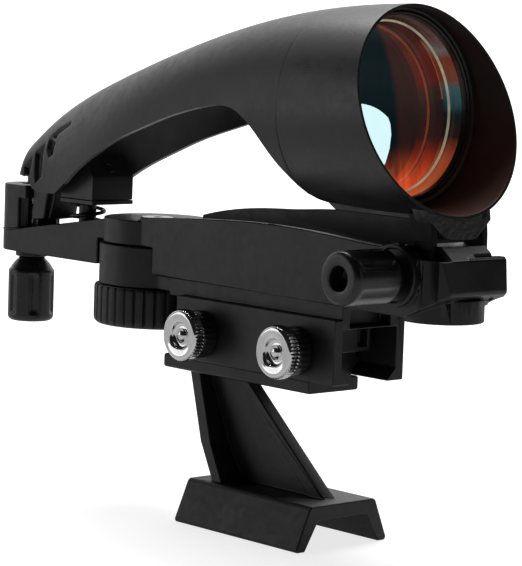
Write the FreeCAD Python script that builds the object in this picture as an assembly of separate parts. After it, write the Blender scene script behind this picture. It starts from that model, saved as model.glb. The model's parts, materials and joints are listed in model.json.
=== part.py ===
import FreeCAD, Part
import math
import os

# Reflex finder: a hooded head on an adjustable bracket frame, above a clamp base and a
# dovetail riser. Millimetres. +X is the sighting direction (front, hood mouth), -Y the side
# with the clamp screws (near side), +Z up. Origin: centre of the dovetail foot's bottom plane.

V = FreeCAD.Vector
os.makedirs("parts", exist_ok=True)

# Places and sizes shared between pieces
PIVOT_X = -56.0                  # upright azimuth pivot
HINGE_X, HINGE_Z = 60.5, 79.3    # hinge pin of the head, along Y
ALT_X = -115.5                   # altitude screw, upright
AZ_X, AZ_Z = 54.3, 76.9          # azimuth screw, along Y
POST_X = -88.6                   # altitude spring and its post
BATTERY_X = 58.0
SCREW_R = 2.0                    # clamp and adjusting screws
BORE_R = SCREW_R + 0.08
COLLAR_BORE_R = SCREW_R + 0.02


# ---------------------------------------------------------------------------
# Helpers
# ---------------------------------------------------------------------------
def box(x0, x1, y0, y1, z0, z1):
    return Part.makeBox(x1 - x0, y1 - y0, z1 - z0, V(x0, y0, z0))


def cyl(radius, length, base, axis=(0, 0, 1)):
    return Part.makeCylinder(radius, length, V(*base), V(*axis))


def cyl_x(radius, x0, x1):
    """Cylinder on the X axis."""
    return cyl(radius, x1 - x0, (x0, 0, 0), (1, 0, 0))


def cyl_y(x, z, radius, y0, y1):
    return cyl(radius, y1 - y0, (x, y0, z), (0, 1, 0))


def cyl_z(x, y, radius, z0, z1):
    return cyl(radius, z1 - z0, (x, y, z0))


def ring_y(x, z, outer_r, inner_r, y0, y1):
    return cyl_y(x, z, outer_r, y0, y1).cut(cyl_y(x, z, inner_r, y0 - 1, y1 + 1))


def ring_z(x, y, outer_r, inner_r, z0, z1):
    return cyl_z(x, y, outer_r, z0, z1).cut(cyl_z(x, y, inner_r, z0 - 1, z1 + 1))


def prism(corners, travel):
    return Part.Face(Part.makePolygon(corners + corners[:1])).extrude(travel)


def prism_x(yz, x0, x1):
    return prism([V(x0, y, z) for y, z in yz], V(x1 - x0, 0, 0))


def prism_y(xz, y0, y1):
    return prism([V(x, y0, z) for x, z in xz], V(0, y1 - y0, 0))


def prism_z(xy, z0, z1):
    return prism([V(x, y, z0) for x, y in xy], V(0, 0, z1 - z0))


def spline_prism_y(curve, rest, y0, y1):
    """curve: (x, z) points on one smooth edge; rest: straight corners closing it."""
    spline = Part.BSplineCurve()
    spline.interpolate([V(x, y0, z) for x, z in curve])
    corners = [V(x, y0, z) for x, z in [curve[-1]] + rest + [curve[0]]]
    lines = [Part.makeLine(a, b) for a, b in zip(corners[:-1], corners[1:])]
    return Part.Face(Part.Wire([spline.toShape()] + lines)).extrude(V(0, y1 - y0, 0))


def circle_points(count, radius, first=0.0):
    """Evenly spaced points on a circle; first is the start, in steps."""
    angles = [2 * math.pi * (i + first) / count for i in range(count)]
    return [(radius * math.cos(a), radius * math.sin(a)) for a in angles]


def turn_to_y(shape):
    """Turn a shape built along Z to lie along Y."""
    shape.rotate(V(0, 0, 0), V(1, 0, 0), -90)


def try_fillet(shape, radius, pick):
    edges = [e for e in shape.Edges if pick(e)]
    if not edges:
        return shape
    # Guards against a failed fillet: the sharp edge is kept instead.
    try:
        rounded = shape.makeFillet(radius, edges)
        if rounded.isValid() and rounded.Volume > 0:
            return rounded
    except Exception:
        pass
    return shape


def save(name, shape):
    solids = shape.Solids
    assert solids, name
    piece = solids[0] if len(solids) == 1 else Part.makeCompound(solids)
    assert piece.isValid(), name
    piece.exportStep("parts/%s.step" % name)


# ---------------------------------------------------------------------------
# Riser: dovetail foot, rib leaning back, and grooved rail with its guide block
# ---------------------------------------------------------------------------
FOOT_L = 50.0
FOOT_HW = 33.6 / 2         # half width over the legs at the bottom
FOOT_TOP_HW = 24.0 / 2
FOOT_H = 12.0
FOOT_T = 4.0
RAIL_X0, RAIL_X1 = -40.5, 19.5
BLOCK_X0, BLOCK_X1 = -25.0, 25.0
BLOCK_HW = 8.0
RIB_TOP = 43.5
RIB_ROOT = FOOT_H - 2      # the rib starts inside the foot
# y, z
FOOT_PROFILE = [
    (-FOOT_HW, 0.8), (-FOOT_HW + 0.5, 0), (-FOOT_HW + 3.2, 0),
    (-FOOT_TOP_HW + 3.1, FOOT_H - FOOT_T), (FOOT_TOP_HW - 3.1, FOOT_H - FOOT_T),
    (FOOT_HW - 3.2, 0), (FOOT_HW - 0.5, 0), (FOOT_HW, 0.8),
    (FOOT_TOP_HW + 0.3, FOOT_H - 0.6), (FOOT_TOP_HW - 0.5, FOOT_H),
    (-FOOT_TOP_HW + 0.5, FOOT_H), (-FOOT_TOP_HW - 0.3, FOOT_H - 0.6)]
RAIL_PROFILE = [
    (-9.3, 41.6), (-8.6, 41.2), (8.6, 41.2), (9.3, 41.6), (9.3, 44.6), (8.9, 45.1),
    (6.5, 45.1), (6.5, 46.4), (9.5, 49.3), (9.5, 50.4), (-9.5, 50.4), (-9.5, 49.3),
    (-6.5, 46.4), (-6.5, 45.1), (-8.9, 45.1), (-9.3, 44.6)]
# x, z
RIB_FRONT = [(19.6, RIB_ROOT), (19.4, 12.2), (-13.5, 40.8), (-13.5, RIB_TOP)]
WEB = [(-31.5, RIB_TOP), (-14.5, RIB_ROOT)] + RIB_FRONT
BEAD = [(-16.6, RIB_TOP), (-16.6, 39.6), (15.6, RIB_ROOT)] + RIB_FRONT
FLANGE = [(-34.6, RIB_TOP), (-30.4, RIB_TOP), (-20.4, 22.0), (-14.2, 12.9),
          (-12.2, RIB_ROOT), (-16.9, RIB_ROOT), (-18.1, 12.5), (-24.8, 22.0)]


def riser():
    foot = prism_x(FOOT_PROFILE, -FOOT_L / 2, FOOT_L / 2)
    web = prism_y(WEB, -1.4, 1.4)
    bead = prism_y(BEAD, -2.1, 2.1)
    # rear flange, narrowing upwards
    flange = prism_y(FLANGE, -10.2, 10.2)
    taper = [(-10.2, FOOT_H - 3), (10.2, FOOT_H - 3), (5.0, 43.6), (-5.0, 43.6)]
    flange = flange.common(prism_x(taper, -40, 0))
    rail = prism_x(RAIL_PROFILE, RAIL_X0, RAIL_X1)
    block = box(BLOCK_X0, BLOCK_X1, -BLOCK_HW, BLOCK_HW, 50.0, 59.5)
    # step under the block ahead of the rail, notch in its front end
    block = block.cut(box(RAIL_X1, BLOCK_X1 + 1, -20, 20, 49, 52.6))
    block = block.cut(box(22.0, BLOCK_X1 + 1, 3.2, 6.6, 54.0, 60.5))
    body = foot.fuse([web, bead, flange, rail, block])
    # low pad at the bottom of the near leg
    return body.fuse(box(-15.0, -8.5, -16.0, -13.3, 0.0, 0.4)).removeSplitter()


save("riser_foot", riser())

# ---------------------------------------------------------------------------
# Base: pivot boss, rail body, female dovetail clamp and tongue
# ---------------------------------------------------------------------------
CLAMP_X0, CLAMP_X1 = -31.3, 32.6
CLAMP_HW = 13.0
CLAMP_Z0, CLAMP_Z1 = 45.4, 62.7
CLAMP_T = 3.0
CLAMP_SCREWS = {"rear": -19.7, "front": 18.4}    # x
CLAMP_SCREW_Z = 53.2
BOSS_R = 16.5
STEM_R, STEM_BORE_R = 5.5, 2.15
BODY_HW = 10.4
# x, z
TONGUE = [(-42.0, 66.5), (-30.0, 65.8), (31.0, 65.8), (38.0, 66.5), (43.0, 72.4),
          (58.0, 72.4), (58.0, 80.0), (50.0, 80.0), (40.0, 75.5), (-42.0, 74.2)]


def base():
    body = cyl_z(PIVOT_X, 0, BOSS_R, 63.0, 74.5)
    body = body.fuse([box(-37.5, CLAMP_X1, -BODY_HW, BODY_HW, 62.0, 67.0),
                      box(-46.0, -37.0, -BODY_HW, BODY_HW, 63.0, 67.0)])
    body = body.fuse(box(CLAMP_X0, CLAMP_X1, -CLAMP_HW, CLAMP_HW, 60.0, CLAMP_Z1))
    for side in (-1, 1):
        y0, y1 = sorted((side * (CLAMP_HW - CLAMP_T), side * CLAMP_HW))
        body = body.fuse(box(CLAMP_X0, CLAMP_X1, y0, y1, CLAMP_Z0, 61.0))
        jaw = [(12.0, CLAMP_Z0), (7.0, CLAMP_Z0), (7.0, 45.9), (10.0, 48.9), (12.0, 48.9)]
        body = body.fuse(prism_x([(side * y, z) for y, z in jaw], CLAMP_X0, CLAMP_X1))
    # the rail's top falls forward, clear of the frame's walls as they swing
    slope = [(-6.0, 67.0), (33.0, 66.5), (33.0, 68.0), (-6.0, 68.0)]
    body = body.cut(prism_y(slope, -11.0, 11.0))
    body = body.fuse(prism_y(TONGUE, -3.5, 3.5))
    # pocket for the dimmer board, stem for the dial
    body = body.cut(ring_z(PIVOT_X, 0, 14.0, STEM_R, 62.0, 66.2))
    body = body.fuse(ring_z(PIVOT_X, 0, STEM_R, STEM_BORE_R, 55.0, 67.5))
    body = body.cut(cyl_z(PIVOT_X, 0, 4.03, 67.0, 75.5))
    body = body.cut(cyl_z(PIVOT_X, 0, STEM_BORE_R, 54.0, 67.5))
    # bores for the clamp screws' inserts, and for the azimuth nut
    for x in CLAMP_SCREWS.values():
        body = body.cut(cyl_y(x, CLAMP_SCREW_Z, 3.43, -14.0, -9.0))
    body = body.cut(cyl_y(AZ_X, AZ_Z, 2.93, -5.0, 5.0))
    # slot in the clamp's front end, above the guide block
    slot = box(CLAMP_X1 - 4.0, CLAMP_X1 + 1, -7.5, 7.5, 60.6, 65.2)
    return body.cut(slot).removeSplitter()


save("base_clamp", base())
save("pivot_insert", ring_z(PIVOT_X, 0, 4.0, 2.05, 68.0, 74.4))
save("azimuth_nut", ring_y(AZ_X, AZ_Z, 2.9, 2.3, -3.5, 3.5))
save("thumbscrew_inserts", Part.makeCompound(
    [ring_y(x, CLAMP_SCREW_Z, 3.4, 2.05, -CLAMP_HW, -10.1) for x in CLAMP_SCREWS.values()]))

# ---------------------------------------------------------------------------
# Brightness dial under the boss, with its screw, board and wiper
# ---------------------------------------------------------------------------
DIAL_R = 17.8
DIAL_Z0, DIAL_Z1 = 51.3, 62.8
DIAL_RIBS = 36
DIAL_RIB_R = 0.85


def dial():
    body = cyl_z(PIVOT_X, 0, DIAL_R - 0.5, DIAL_Z0, DIAL_Z1)
    body = body.fuse([cyl_z(PIVOT_X + x, y, DIAL_RIB_R, DIAL_Z0 + 0.3, DIAL_Z1)
                      for x, y in circle_points(DIAL_RIBS, DIAL_R - DIAL_RIB_R)])
    # cup open upwards, stepped screw hole
    body = body.cut(cyl_z(PIVOT_X, 0, 14.4, 54.6, 64.0))
    body = body.cut(cyl_z(PIVOT_X, 0, 3.1, 50.0, 60.0))
    body = body.cut(cyl_z(PIVOT_X, 0, 5.6, 50.0, 53.3))
    # the ribs' lower ends are trimmed
    trim = ring_z(PIVOT_X, 0, 19.0, DIAL_R - 0.3, 50.0, DIAL_Z0 + 0.4)
    return body.cut(trim).removeSplitter()


def dial_screw():
    screw = cyl_z(PIVOT_X, 0, 5.2, 52.3, 53.15).fuse(cyl_z(PIVOT_X, 0, 3.05, 53.0, 54.95))
    screw = screw.fuse(cyl_z(PIVOT_X, 0, 2.1, 54.5, 65.8))
    slot = box(PIVOT_X - 3.6, PIVOT_X + 3.6, -0.5, 0.5, 52.0, 52.75)
    return screw.cut(slot).removeSplitter()


def wiper():
    arc = ring_z(PIVOT_X, 0, 12.6, 8.0, 60.2, 60.7)
    arc = arc.common(box(PIVOT_X, PIVOT_X + 14, -5, 5, 60, 61))
    arc = arc.fuse(cyl_z(PIVOT_X + 10.4, 0, 0.9, 60.4, 63.8))
    return arc.fuse(cyl_z(PIVOT_X + 11.4, 0, 0.9, 54.65, 60.4)).removeSplitter()


save("brightness_dial", dial())
save("dial_screw", dial_screw())
save("dimmer_board", ring_z(PIVOT_X, 0, 13.6, 6.2, 63.9, 65.5))
save("dimmer_wiper", wiper())

# ---------------------------------------------------------------------------
# Clamp screws: nylon tip, steel stud, black collar, plated head
# ---------------------------------------------------------------------------
COLLAR_FLUTES = circle_points(24, 6.75)
HEAD_FLUTES = circle_points(40, 7.35, first=0.5)


def flutes_y(x, points, radius, y0, y1):
    return Part.makeCompound([cyl_y(x + dx, CLAMP_SCREW_Z + dz, radius, y0, y1)
                              for dx, dz in points])


def screw_collar(x):
    collar = ring_y(x, CLAMP_SCREW_Z, 6.6, COLLAR_BORE_R, -18.1, -13.35)
    return collar.cut(flutes_y(x, COLLAR_FLUTES, 0.35, -18.2, -13.3)).removeSplitter()


def screw_head(x):
    head = cyl_y(x, CLAMP_SCREW_Z, 7.2, -21.8, -18.15)
    head = try_fillet(head, 0.6, lambda e: abs(e.BoundBox.YLength) < 1e-6)
    head = head.cut(cyl_y(x, CLAMP_SCREW_Z, COLLAR_BORE_R, -20.5, -18.0))
    # dished face with a raised centre
    dish = Part.makeCone(3.4, 2.6, 0.9, V(x, -21.81, CLAMP_SCREW_Z), V(0, 1, 0))
    centre = Part.makeCone(1.2, 1.5, 1.0, V(x, -21.75, CLAMP_SCREW_Z), V(0, 1, 0))
    head = head.cut(dish).fuse(centre)
    return head.cut(flutes_y(x, HEAD_FLUTES, 0.4, -21.2, -18.7)).removeSplitter()


for place, screw_x in CLAMP_SCREWS.items():
    save(place + "_screw_tip", cyl_y(screw_x, CLAMP_SCREW_Z, 1.7, -9.6, -8.06))
    save(place + "_screw_stud", cyl_y(screw_x, CLAMP_SCREW_Z, SCREW_R, -20.4, -9.65))
    save(place + "_screw_collar", screw_collar(screw_x))
    save(place + "_screw_head", screw_head(screw_x))

# ---------------------------------------------------------------------------
# Bracket frame: trough, pivot boss, rear arm, tower, front block
# ---------------------------------------------------------------------------
FRAME_HW = 13.0
FRAME_T = 2.5
FRAME_IN = FRAME_HW - FRAME_T    # inner faces of the walls
FRAME_Z0 = 67.5
ARM_HW = 8.2
ARM_Z0 = 67.2
TOWER_X = -116.6
TOWER_R = 8.1
TOWER_Z = 87.5
HOUSING_HW = 8.1
PIN_R = 1.5
# side outlines, x, z: the smooth top edge, then the corners closing it
FRAME_TOP = [(-48.5, 82.9), (-36, 83.9), (-24, 84.7), (-10, 85.4), (2, 85.7), (14, 85.6),
             (29, 84.9), (43, 83.9), (48.5, 83.7)]
FRAME_REST = [
    (50.0, 84.0), (52.2, 84.75), (54.5, 85.0), (56.6, 84.6), (58.6, 83.4), (60.4, 82.2),
    (62.5, 81.6), (69.0, 81.5), (71.0, 73.6), (70.6, 72.7), (57.0, 66.4),
    (-42.6, FRAME_Z0), (-42.6, 74.9), (-48.5, 74.9)]
FAR_TOP = [(-48.5, 83.2), (-40, 85.0), (-30, 86.5), (-20, 87.3), (-10, 87.8), (-2, 88.3),
           (6, 88.5), (20, 88.2), (35, 88.2), (48.0, 88.2)]
FAR_REST = [(49.2, 87.6), (50.2, 86.2), (52.2, 84.75), (54.5, 80.0), (-48.5, 80.0)]
HOUSING = [(58.6, 71.0), (58.6, 80.7), (56.6, 80.7), (56.6, 84.2), (57.4, 84.9),
           (64.8, 84.7), (69.0, 81.4), (67.0, 78.0), (67.0, 71.0)]
ARM = [(TOWER_X, ARM_Z0), (-73.4, ARM_Z0), (-73.4, 74.9), (-62.0, 74.9), (-62.0, 81.6),
       (-71.0, 80.7), (-111.0, 74.4), (TOWER_X, 73.6)]


def trough():
    body = spline_prism_y(FRAME_TOP, FRAME_REST, -FRAME_HW, FRAME_HW)
    for x0, x1, z0, z1 in ((-41.0, 44.0, 60, 95), (-43.5, -40.0, 60, 74.9),
                           (43.0, 64.2, 71.2, 95), (-50.0, -40.0, 82.0, 95)):
        body = body.cut(box(x0, x1, -FRAME_IN, FRAME_IN, z0, z1))
    # the far wall stands higher than the near one
    body = body.fuse(spline_prism_y(FAR_TOP, FAR_REST, FRAME_IN, FRAME_HW))
    # hinge housing between the head's lugs, its pin seat open to the rear
    body = body.fuse(prism_y(HOUSING, -HOUSING_HW, HOUSING_HW))
    seat_r = PIN_R + 0.04
    body = body.cut(box(57.0, HINGE_X, -8.2, 8.2, HINGE_Z - seat_r, HINGE_Z + seat_r))
    body = body.cut(cyl_y(HINGE_X, HINGE_Z, seat_r, -8.2, 8.2))
    for side in (-1, 1):
        # waisted side behind the front face, then the bevelled front corner
        body = body.cut(cyl(3.7, 40, (65.4, side * 14.9, 60)))
        bevel = [(66.5, side * 13.6), (72.5, side * 9.2), (72.5, side * 14)]
        body = body.cut(prism_z(bevel, 60, 90))
    return body


def arm_and_tower():
    arm = prism_y(ARM, -ARM_HW, ARM_HW)
    arm = arm.fuse(cyl_z(TOWER_X, 0, ARM_HW, ARM_Z0, 73.6))
    tower = cyl_z(TOWER_X, 0, TOWER_R, 73.0, TOWER_Z)
    tower = tower.fuse(box(TOWER_X, -112.3, -TOWER_R, TOWER_R, 73.0, TOWER_Z))
    tower = tower.fuse(box(TOWER_X, -108.7, -TOWER_R, TOWER_R, 83.6, TOWER_Z))
    return [arm, tower]


def frame():
    body = trough().fuse(cyl_z(PIVOT_X, 0, 15.5, 74.9, 82.0))
    body = body.fuse(arm_and_tower())
    body = body.cut(box(-121.4, -108.0, -5.3, 5.3, 74.7, 83.6))
    body = body.cut(cyl_z(-119.8, 0, 1.9, 85.0, 90.0))
    # altitude knob seat under the arm, screw bore, clip recess
    body = body.fuse(cyl_z(ALT_X, 0, 5.0, 65.3, 68.0))
    body = body.cut(cyl_z(ALT_X, 0, BORE_R, 60.0, 90.0))
    body = body.cut(cyl_z(ALT_X, 0, 3.3, 86.2, 90.0))
    # azimuth knob seat on the near wall
    body = body.fuse(cyl_y(AZ_X, AZ_Z, 8.1, -15.0, -12.0))
    body = body.cut(cyl_y(AZ_X, AZ_Z, 6.9, -16.0, -14.0))
    body = body.cut(cyl_y(AZ_X, AZ_Z, BORE_R, -16.0, -10.0))
    # pivot bore, hinge pin sockets
    body = body.cut(cyl_z(PIVOT_X, 0, 2.58, 70.0, 90.0))
    body = body.cut(cyl_z(PIVOT_X, 0, 5.2, 79.4, 90.0))
    sockets = cyl_y(HINGE_X, HINGE_Z, PIN_R + 0.02, -12.1, 12.1)
    body = body.cut(sockets.cut(box(50, 70, -FRAME_IN, FRAME_IN, 70, 90)))
    # battery boss and pocket
    body = body.fuse(cyl_z(BATTERY_X, 0, 11.0, 65.0, 71.2))
    body = body.cut(cyl_z(BATTERY_X, 0, 9.3, 64.0, 66.9))
    body = body.cut(cyl_z(BATTERY_X, 0, 8.25, 64.0, 69.8))
    # spring post socket and seat
    body = body.cut(cyl_z(POST_X, 0, 1.52, 72.0, 80.0))
    body = body.cut(cyl_z(POST_X, 0, 6.4, 77.0, 82.0))
    # rim and slot on the front block
    rim = box(66.6, 68.9, -2.0, 11.5, 81.0, 82.1)
    body = body.fuse(rim.cut(box(67.2, 68.2, 1.0, 10.0, 80.9, 83)))
    body = body.cut(box(67.2, 68.2, 1.0, 10.0, 80.3, 83))
    # engraved row of long and short ticks on the near wall
    for i in range(9):
        x = -14 + 6.0 * i
        half = 3.2 if i % 2 == 0 else 1.9
        body = body.cut(box(x - 0.35, x + 0.35, -13.5, -12.65, 76.6 - half, 76.6 + half))
    return body.removeSplitter()


def pivot_screw():
    screw = cyl_z(PIVOT_X, 0, 4.6, 79.95, 82.2).fuse(cyl_z(PIVOT_X, 0, 2.5, 74.45, 80.0))
    screw = screw.fuse(cyl_z(PIVOT_X, 0, 2.0, 68.2, 75.0))
    hexagon = [(PIVOT_X + x, y) for x, y in circle_points(6, 1.5)]
    return screw.cut(prism_z(hexagon, 80.8, 83)).removeSplitter()


save("bracket_frame", frame())
save("pivot_screw", pivot_screw())
save("pivot_washer", ring_z(PIVOT_X, 0, 5.0, 2.6, 79.45, 79.9))
save("hinge_pin", cyl_y(HINGE_X, HINGE_Z, PIN_R, -12.0, 12.0))
save("spring_guide_post", cyl_z(POST_X, 0, 1.5, 72.1, 77.5).fuse(
    [cyl_z(POST_X, 0, 2.6, 77.05, 83.4), cyl_z(POST_X, 0, 2.25, 83.3, 84.7)]).removeSplitter())

# ---------------------------------------------------------------------------
# Battery under the front block: cell, contact, door with seal, lead
# ---------------------------------------------------------------------------
CELL_R, CELL_T = 8.0, 2.0
CELL_Z = 67.2


def battery_door():
    door = cyl_z(BATTERY_X, 0, 9.2, 65.05, 66.75)
    door = door.cut(box(BATTERY_X - 5, BATTERY_X + 5, -0.8, 0.8, 64, 65.8))
    return door.cut(ring_z(BATTERY_X, 0, 8.9, 7.7, 66.25, 67.5)).removeSplitter()


save("coin_cell", cyl_z(BATTERY_X, 0, CELL_R, CELL_Z, 68.4).fuse(
    cyl_z(BATTERY_X, 0, CELL_R - 0.8, 68.3, CELL_Z + CELL_T)).removeSplitter())
save("battery_contact", cyl_z(BATTERY_X, 0, 4.0, 69.25, 69.55).fuse(
    cyl_z(BATTERY_X, 0, 1.0, 69.5, 69.75)).removeSplitter())
save("battery_door", battery_door())
save("battery_seal", Part.makeTorus(8.3, 0.24, V(BATTERY_X, 0, 66.53)))
save("battery_lead", cyl(0.5, 84.0, (-40.5, 9.8, 73.0), (1, 0, 0)))

# ---------------------------------------------------------------------------
# Adjusting knobs, screws, clips and springs
# ---------------------------------------------------------------------------
KNOB_R = 7.0
KNOB_CONE = 4.0                  # length of the cone neck
KNOB_END = -KNOB_CONE - 15.6     # outer end of the grip, measured from the neck's face
SCREW_END = KNOB_END + 5.6
ALT_KNOB_Z = 65.15               # neck faces
AZ_KNOB_Y = -14.1
CLIP_R, CLIP_BORE_R = 3.1, SCREW_R + 0.03


def knob():
    """Fluted grip below z = 0 with a cone neck, and a blind hole in the end."""
    body = cyl_z(0, 0, KNOB_R, KNOB_END, -KNOB_CONE)
    body = try_fillet(body, 1.4, lambda e: abs(e.BoundBox.ZMin - KNOB_END) < 1e-6
                      and e.BoundBox.ZLength < 1e-6)
    body = body.fuse(Part.makeCone(KNOB_R, 4.0, KNOB_CONE, V(0, 0, -KNOB_CONE), V(0, 0, 1)))
    body = body.cut(Part.makeCompound(
        [cyl_z(x, y, 2.2, KNOB_END + 1.6, -KNOB_CONE - 0.4)
         for x, y in circle_points(6, KNOB_R + 1.65, first=0.5)]))
    body = body.cut(cyl_z(0, 0, 3.2, KNOB_END - 1, KNOB_END + 4.5))
    return body.cut(cyl_z(0, 0, COLLAR_BORE_R, KNOB_END + 5.5, 1.0)).removeSplitter()


def coil(radius, wire, pitch, turns):
    """Spring rising from z = 0; the wire's section is a 12-sided polygon."""
    helix = Part.makeHelix(pitch, pitch * turns, radius)
    corners = [V(radius + x, 0, z) for x, z in circle_points(12, wire / 2)]
    section = Part.makePolygon(corners + corners[:1])
    return Part.Wire(helix).makePipeShell([section], True, True)


alt_knob = knob()
alt_knob.translate(V(ALT_X, 0, ALT_KNOB_Z))
save("altitude_knob", alt_knob)
save("altitude_screw", cyl_z(ALT_X, 0, SCREW_R, ALT_KNOB_Z + SCREW_END, 87.0))
save("altitude_clip", ring_z(ALT_X, 0, CLIP_R, CLIP_BORE_R, 86.3, 86.8))
save("altitude_nut", ring_z(ALT_X, 0, 3.0, 2.2, 77.0, 81.0))

az_knob = knob()
turn_to_y(az_knob)
az_knob.translate(V(AZ_X, AZ_KNOB_Y, AZ_Z))
save("azimuth_knob", az_knob)
save("azimuth_screw", cyl_y(AZ_X, AZ_Z, SCREW_R, AZ_KNOB_Y + SCREW_END, 7.6))
save("azimuth_clip", ring_y(AZ_X, AZ_Z, CLIP_R, CLIP_BORE_R, -10.4, -9.9))

alt_spring = coil(radius=5.1, wire=0.9, pitch=2.75, turns=2.0)
alt_spring.translate(V(POST_X, 0, 77.6))
save("altitude_spring", alt_spring)
az_spring = coil(radius=2.85, wire=0.6, pitch=2.0, turns=2.75)
turn_to_y(az_spring)
az_spring.translate(V(AZ_X, 4.2, AZ_Z))
save("azimuth_spring", az_spring)

# ---------------------------------------------------------------------------
# Head: hood shell with window seat, chin, hinge lugs and tail neck
# ---------------------------------------------------------------------------
WALL = 1.7
MOUTH_X, MOUTH_Z = 54.2, 118.3
MOUTH_TILT = 19.9
WINDOW_X, WINDOW_Z = 38.0, 118.7
WINDOW_TILT = 5.5
WINDOW_R = 24.2
WINDOW_CLEAR_R = 22.0
# hood stations: x, half width, top z, z of the widest point
STATIONS = [
    (-114.5, 8.3, 98.0, 84.0), (-108.0, 8.9, 103.6, 83.0), (-100.0, 9.8, 108.8, 83.5),
    (-90.0, 11.2, 113.7, 87.0), (-80.0, 12.9, 117.7, 92.5), (-68.0, 15.2, 122.2, 98.0),
    (-56.5, 17.3, 126.0, 102.5), (-42.5, 19.2, 130.4, 107.2), (-30.0, 20.3, 133.9, 111.0),
    (-18.0, 21.2, 137.2, 114.0), (-6.0, 22.2, 140.0, 116.0), (6.0, 23.4, 142.3, 117.2),
    (18.0, 24.8, 144.0, 117.9), (30.0, 26.2, 145.0, 118.3), (42.0, 27.2, 145.4, 118.4),
    (54.0, 27.9, 145.7, 118.5), (68.0, 28.5, 145.9, 118.5)]
# the cavity stops short of the tail's end and runs out past the mouth
CAVITY_STATIONS = [(-112.4, 8.5, 99.6, 83.8)] + STATIONS[1:] + [(72.0, 28.6, 145.95, 118.5)]
# side outline of the open underside, x, z: smooth line, then the corners closing it
SCOOP = [
    (-91.0, 86.4), (-86.5, 89.0), (-82.0, 92.0), (-68.0, 99.2), (-56.5, 104.1),
    (-42.5, 108.6), (-30.0, 112.3), (-18.0, 115.1), (-8.0, 116.7), (-1.0, 116.6),
    (6.9, 112.9), (12.2, 107.6), (16.3, 101.7), (19.0, 96.0), (20.2, 91.0), (20.6, 80.0)]
SCOOP_REST = [
    (20.6, 30.0), (-130.0, 30.0), (-130.0, 92.5), (-116.0, 92.5), (-112.5, 90.6),
    (-108.2, 90.4), (-104.5, 87.0), (-100.0, 86.2)]
# y, z
CHIN = [(-12.0, 92.5), (12.0, 92.5), (11.2, 91.0), (8.6, 88.6), (6.6, 86.6), (4.8, 86.0),
        (-4.8, 86.0), (-6.6, 86.6), (-8.6, 88.6), (-11.2, 91.0)]
# x, z
CHIN_REAR = [(49.0, 85.0), (58.5, 85.0), (50.0, 91.4), (49.0, 91.4)]
KEEL = [(18.5, 95.0), (21.0, 92.4), (23.8, 90.8), (52.5, 90.7), (52.5, 95.0)]
LUG = [(57.3, HINGE_Z), (63.7, HINGE_Z), (63.5, 87.5), (63.0, 93.6), (54.5, 93.6),
       (56.6, 87.5)]
NECK = [(-107.6, 88.5), (-107.6, 82.8), (-108.4, 81.2), (-119.0, 81.2), (-119.0, 77.0),
        (-108.0, 77.0), (-101.0, 78.0), (-99.2, 84.0), (-98.5, 88.5)]
NECK_WIDE = [(-107.6, 88.5), (-107.6, 82.0), (-108.0, 80.0), (-108.0, 77.0),
             (-102.0, 77.9), (-100.8, 84.0), (-98.5, 88.5)]
NECK_BRIDGE = [(-107.6, 88.2), (-98.5, 88.2), (-98.5, 90.2), (-107.6, 90.2)]
# upright grooves on the tail's sides: x, y on the far side, z, half length
GROOVES = [(-111.0, 8.75, 94.8, 3.2), (-107.0, 9.0, 95.6, 4.8), (-101.6, 9.6, 99.0, 3.6)]
GROOVE_R = 1.5


def hood_section(x, half_width, top_z, centre_z, inset):
    """Superellipse across X, its exponent easing from 2.35 at the tail to 2 at the mouth."""
    height = top_z - centre_z - inset
    width = half_width - inset
    blend = max(0.0, min(1.0, (x + 50) / 100.0))
    power = 2 / (2.35 - 0.35 * blend * blend * (3 - 2 * blend))
    points = [V(x, width * math.copysign(abs(c) ** power, c),
                centre_z + height * math.copysign(abs(s) ** power, s))
              for c, s in circle_points(24, 1)]
    spline = Part.BSplineCurve()
    spline.interpolate(points, PeriodicFlag=True)
    return Part.Wire(spline.toShape())


def hood_loft(stations, inset):
    return Part.makeLoft([hood_section(*station, inset) for station in stations], True, False)


def at_window(shape):
    """Place a shape built on the X axis on the window's tilted axis."""
    shape.rotate(V(0, 0, 0), V(0, 1, 0), -WINDOW_TILT)
    shape.translate(V(WINDOW_X, 0, WINDOW_Z))
    return shape


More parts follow.
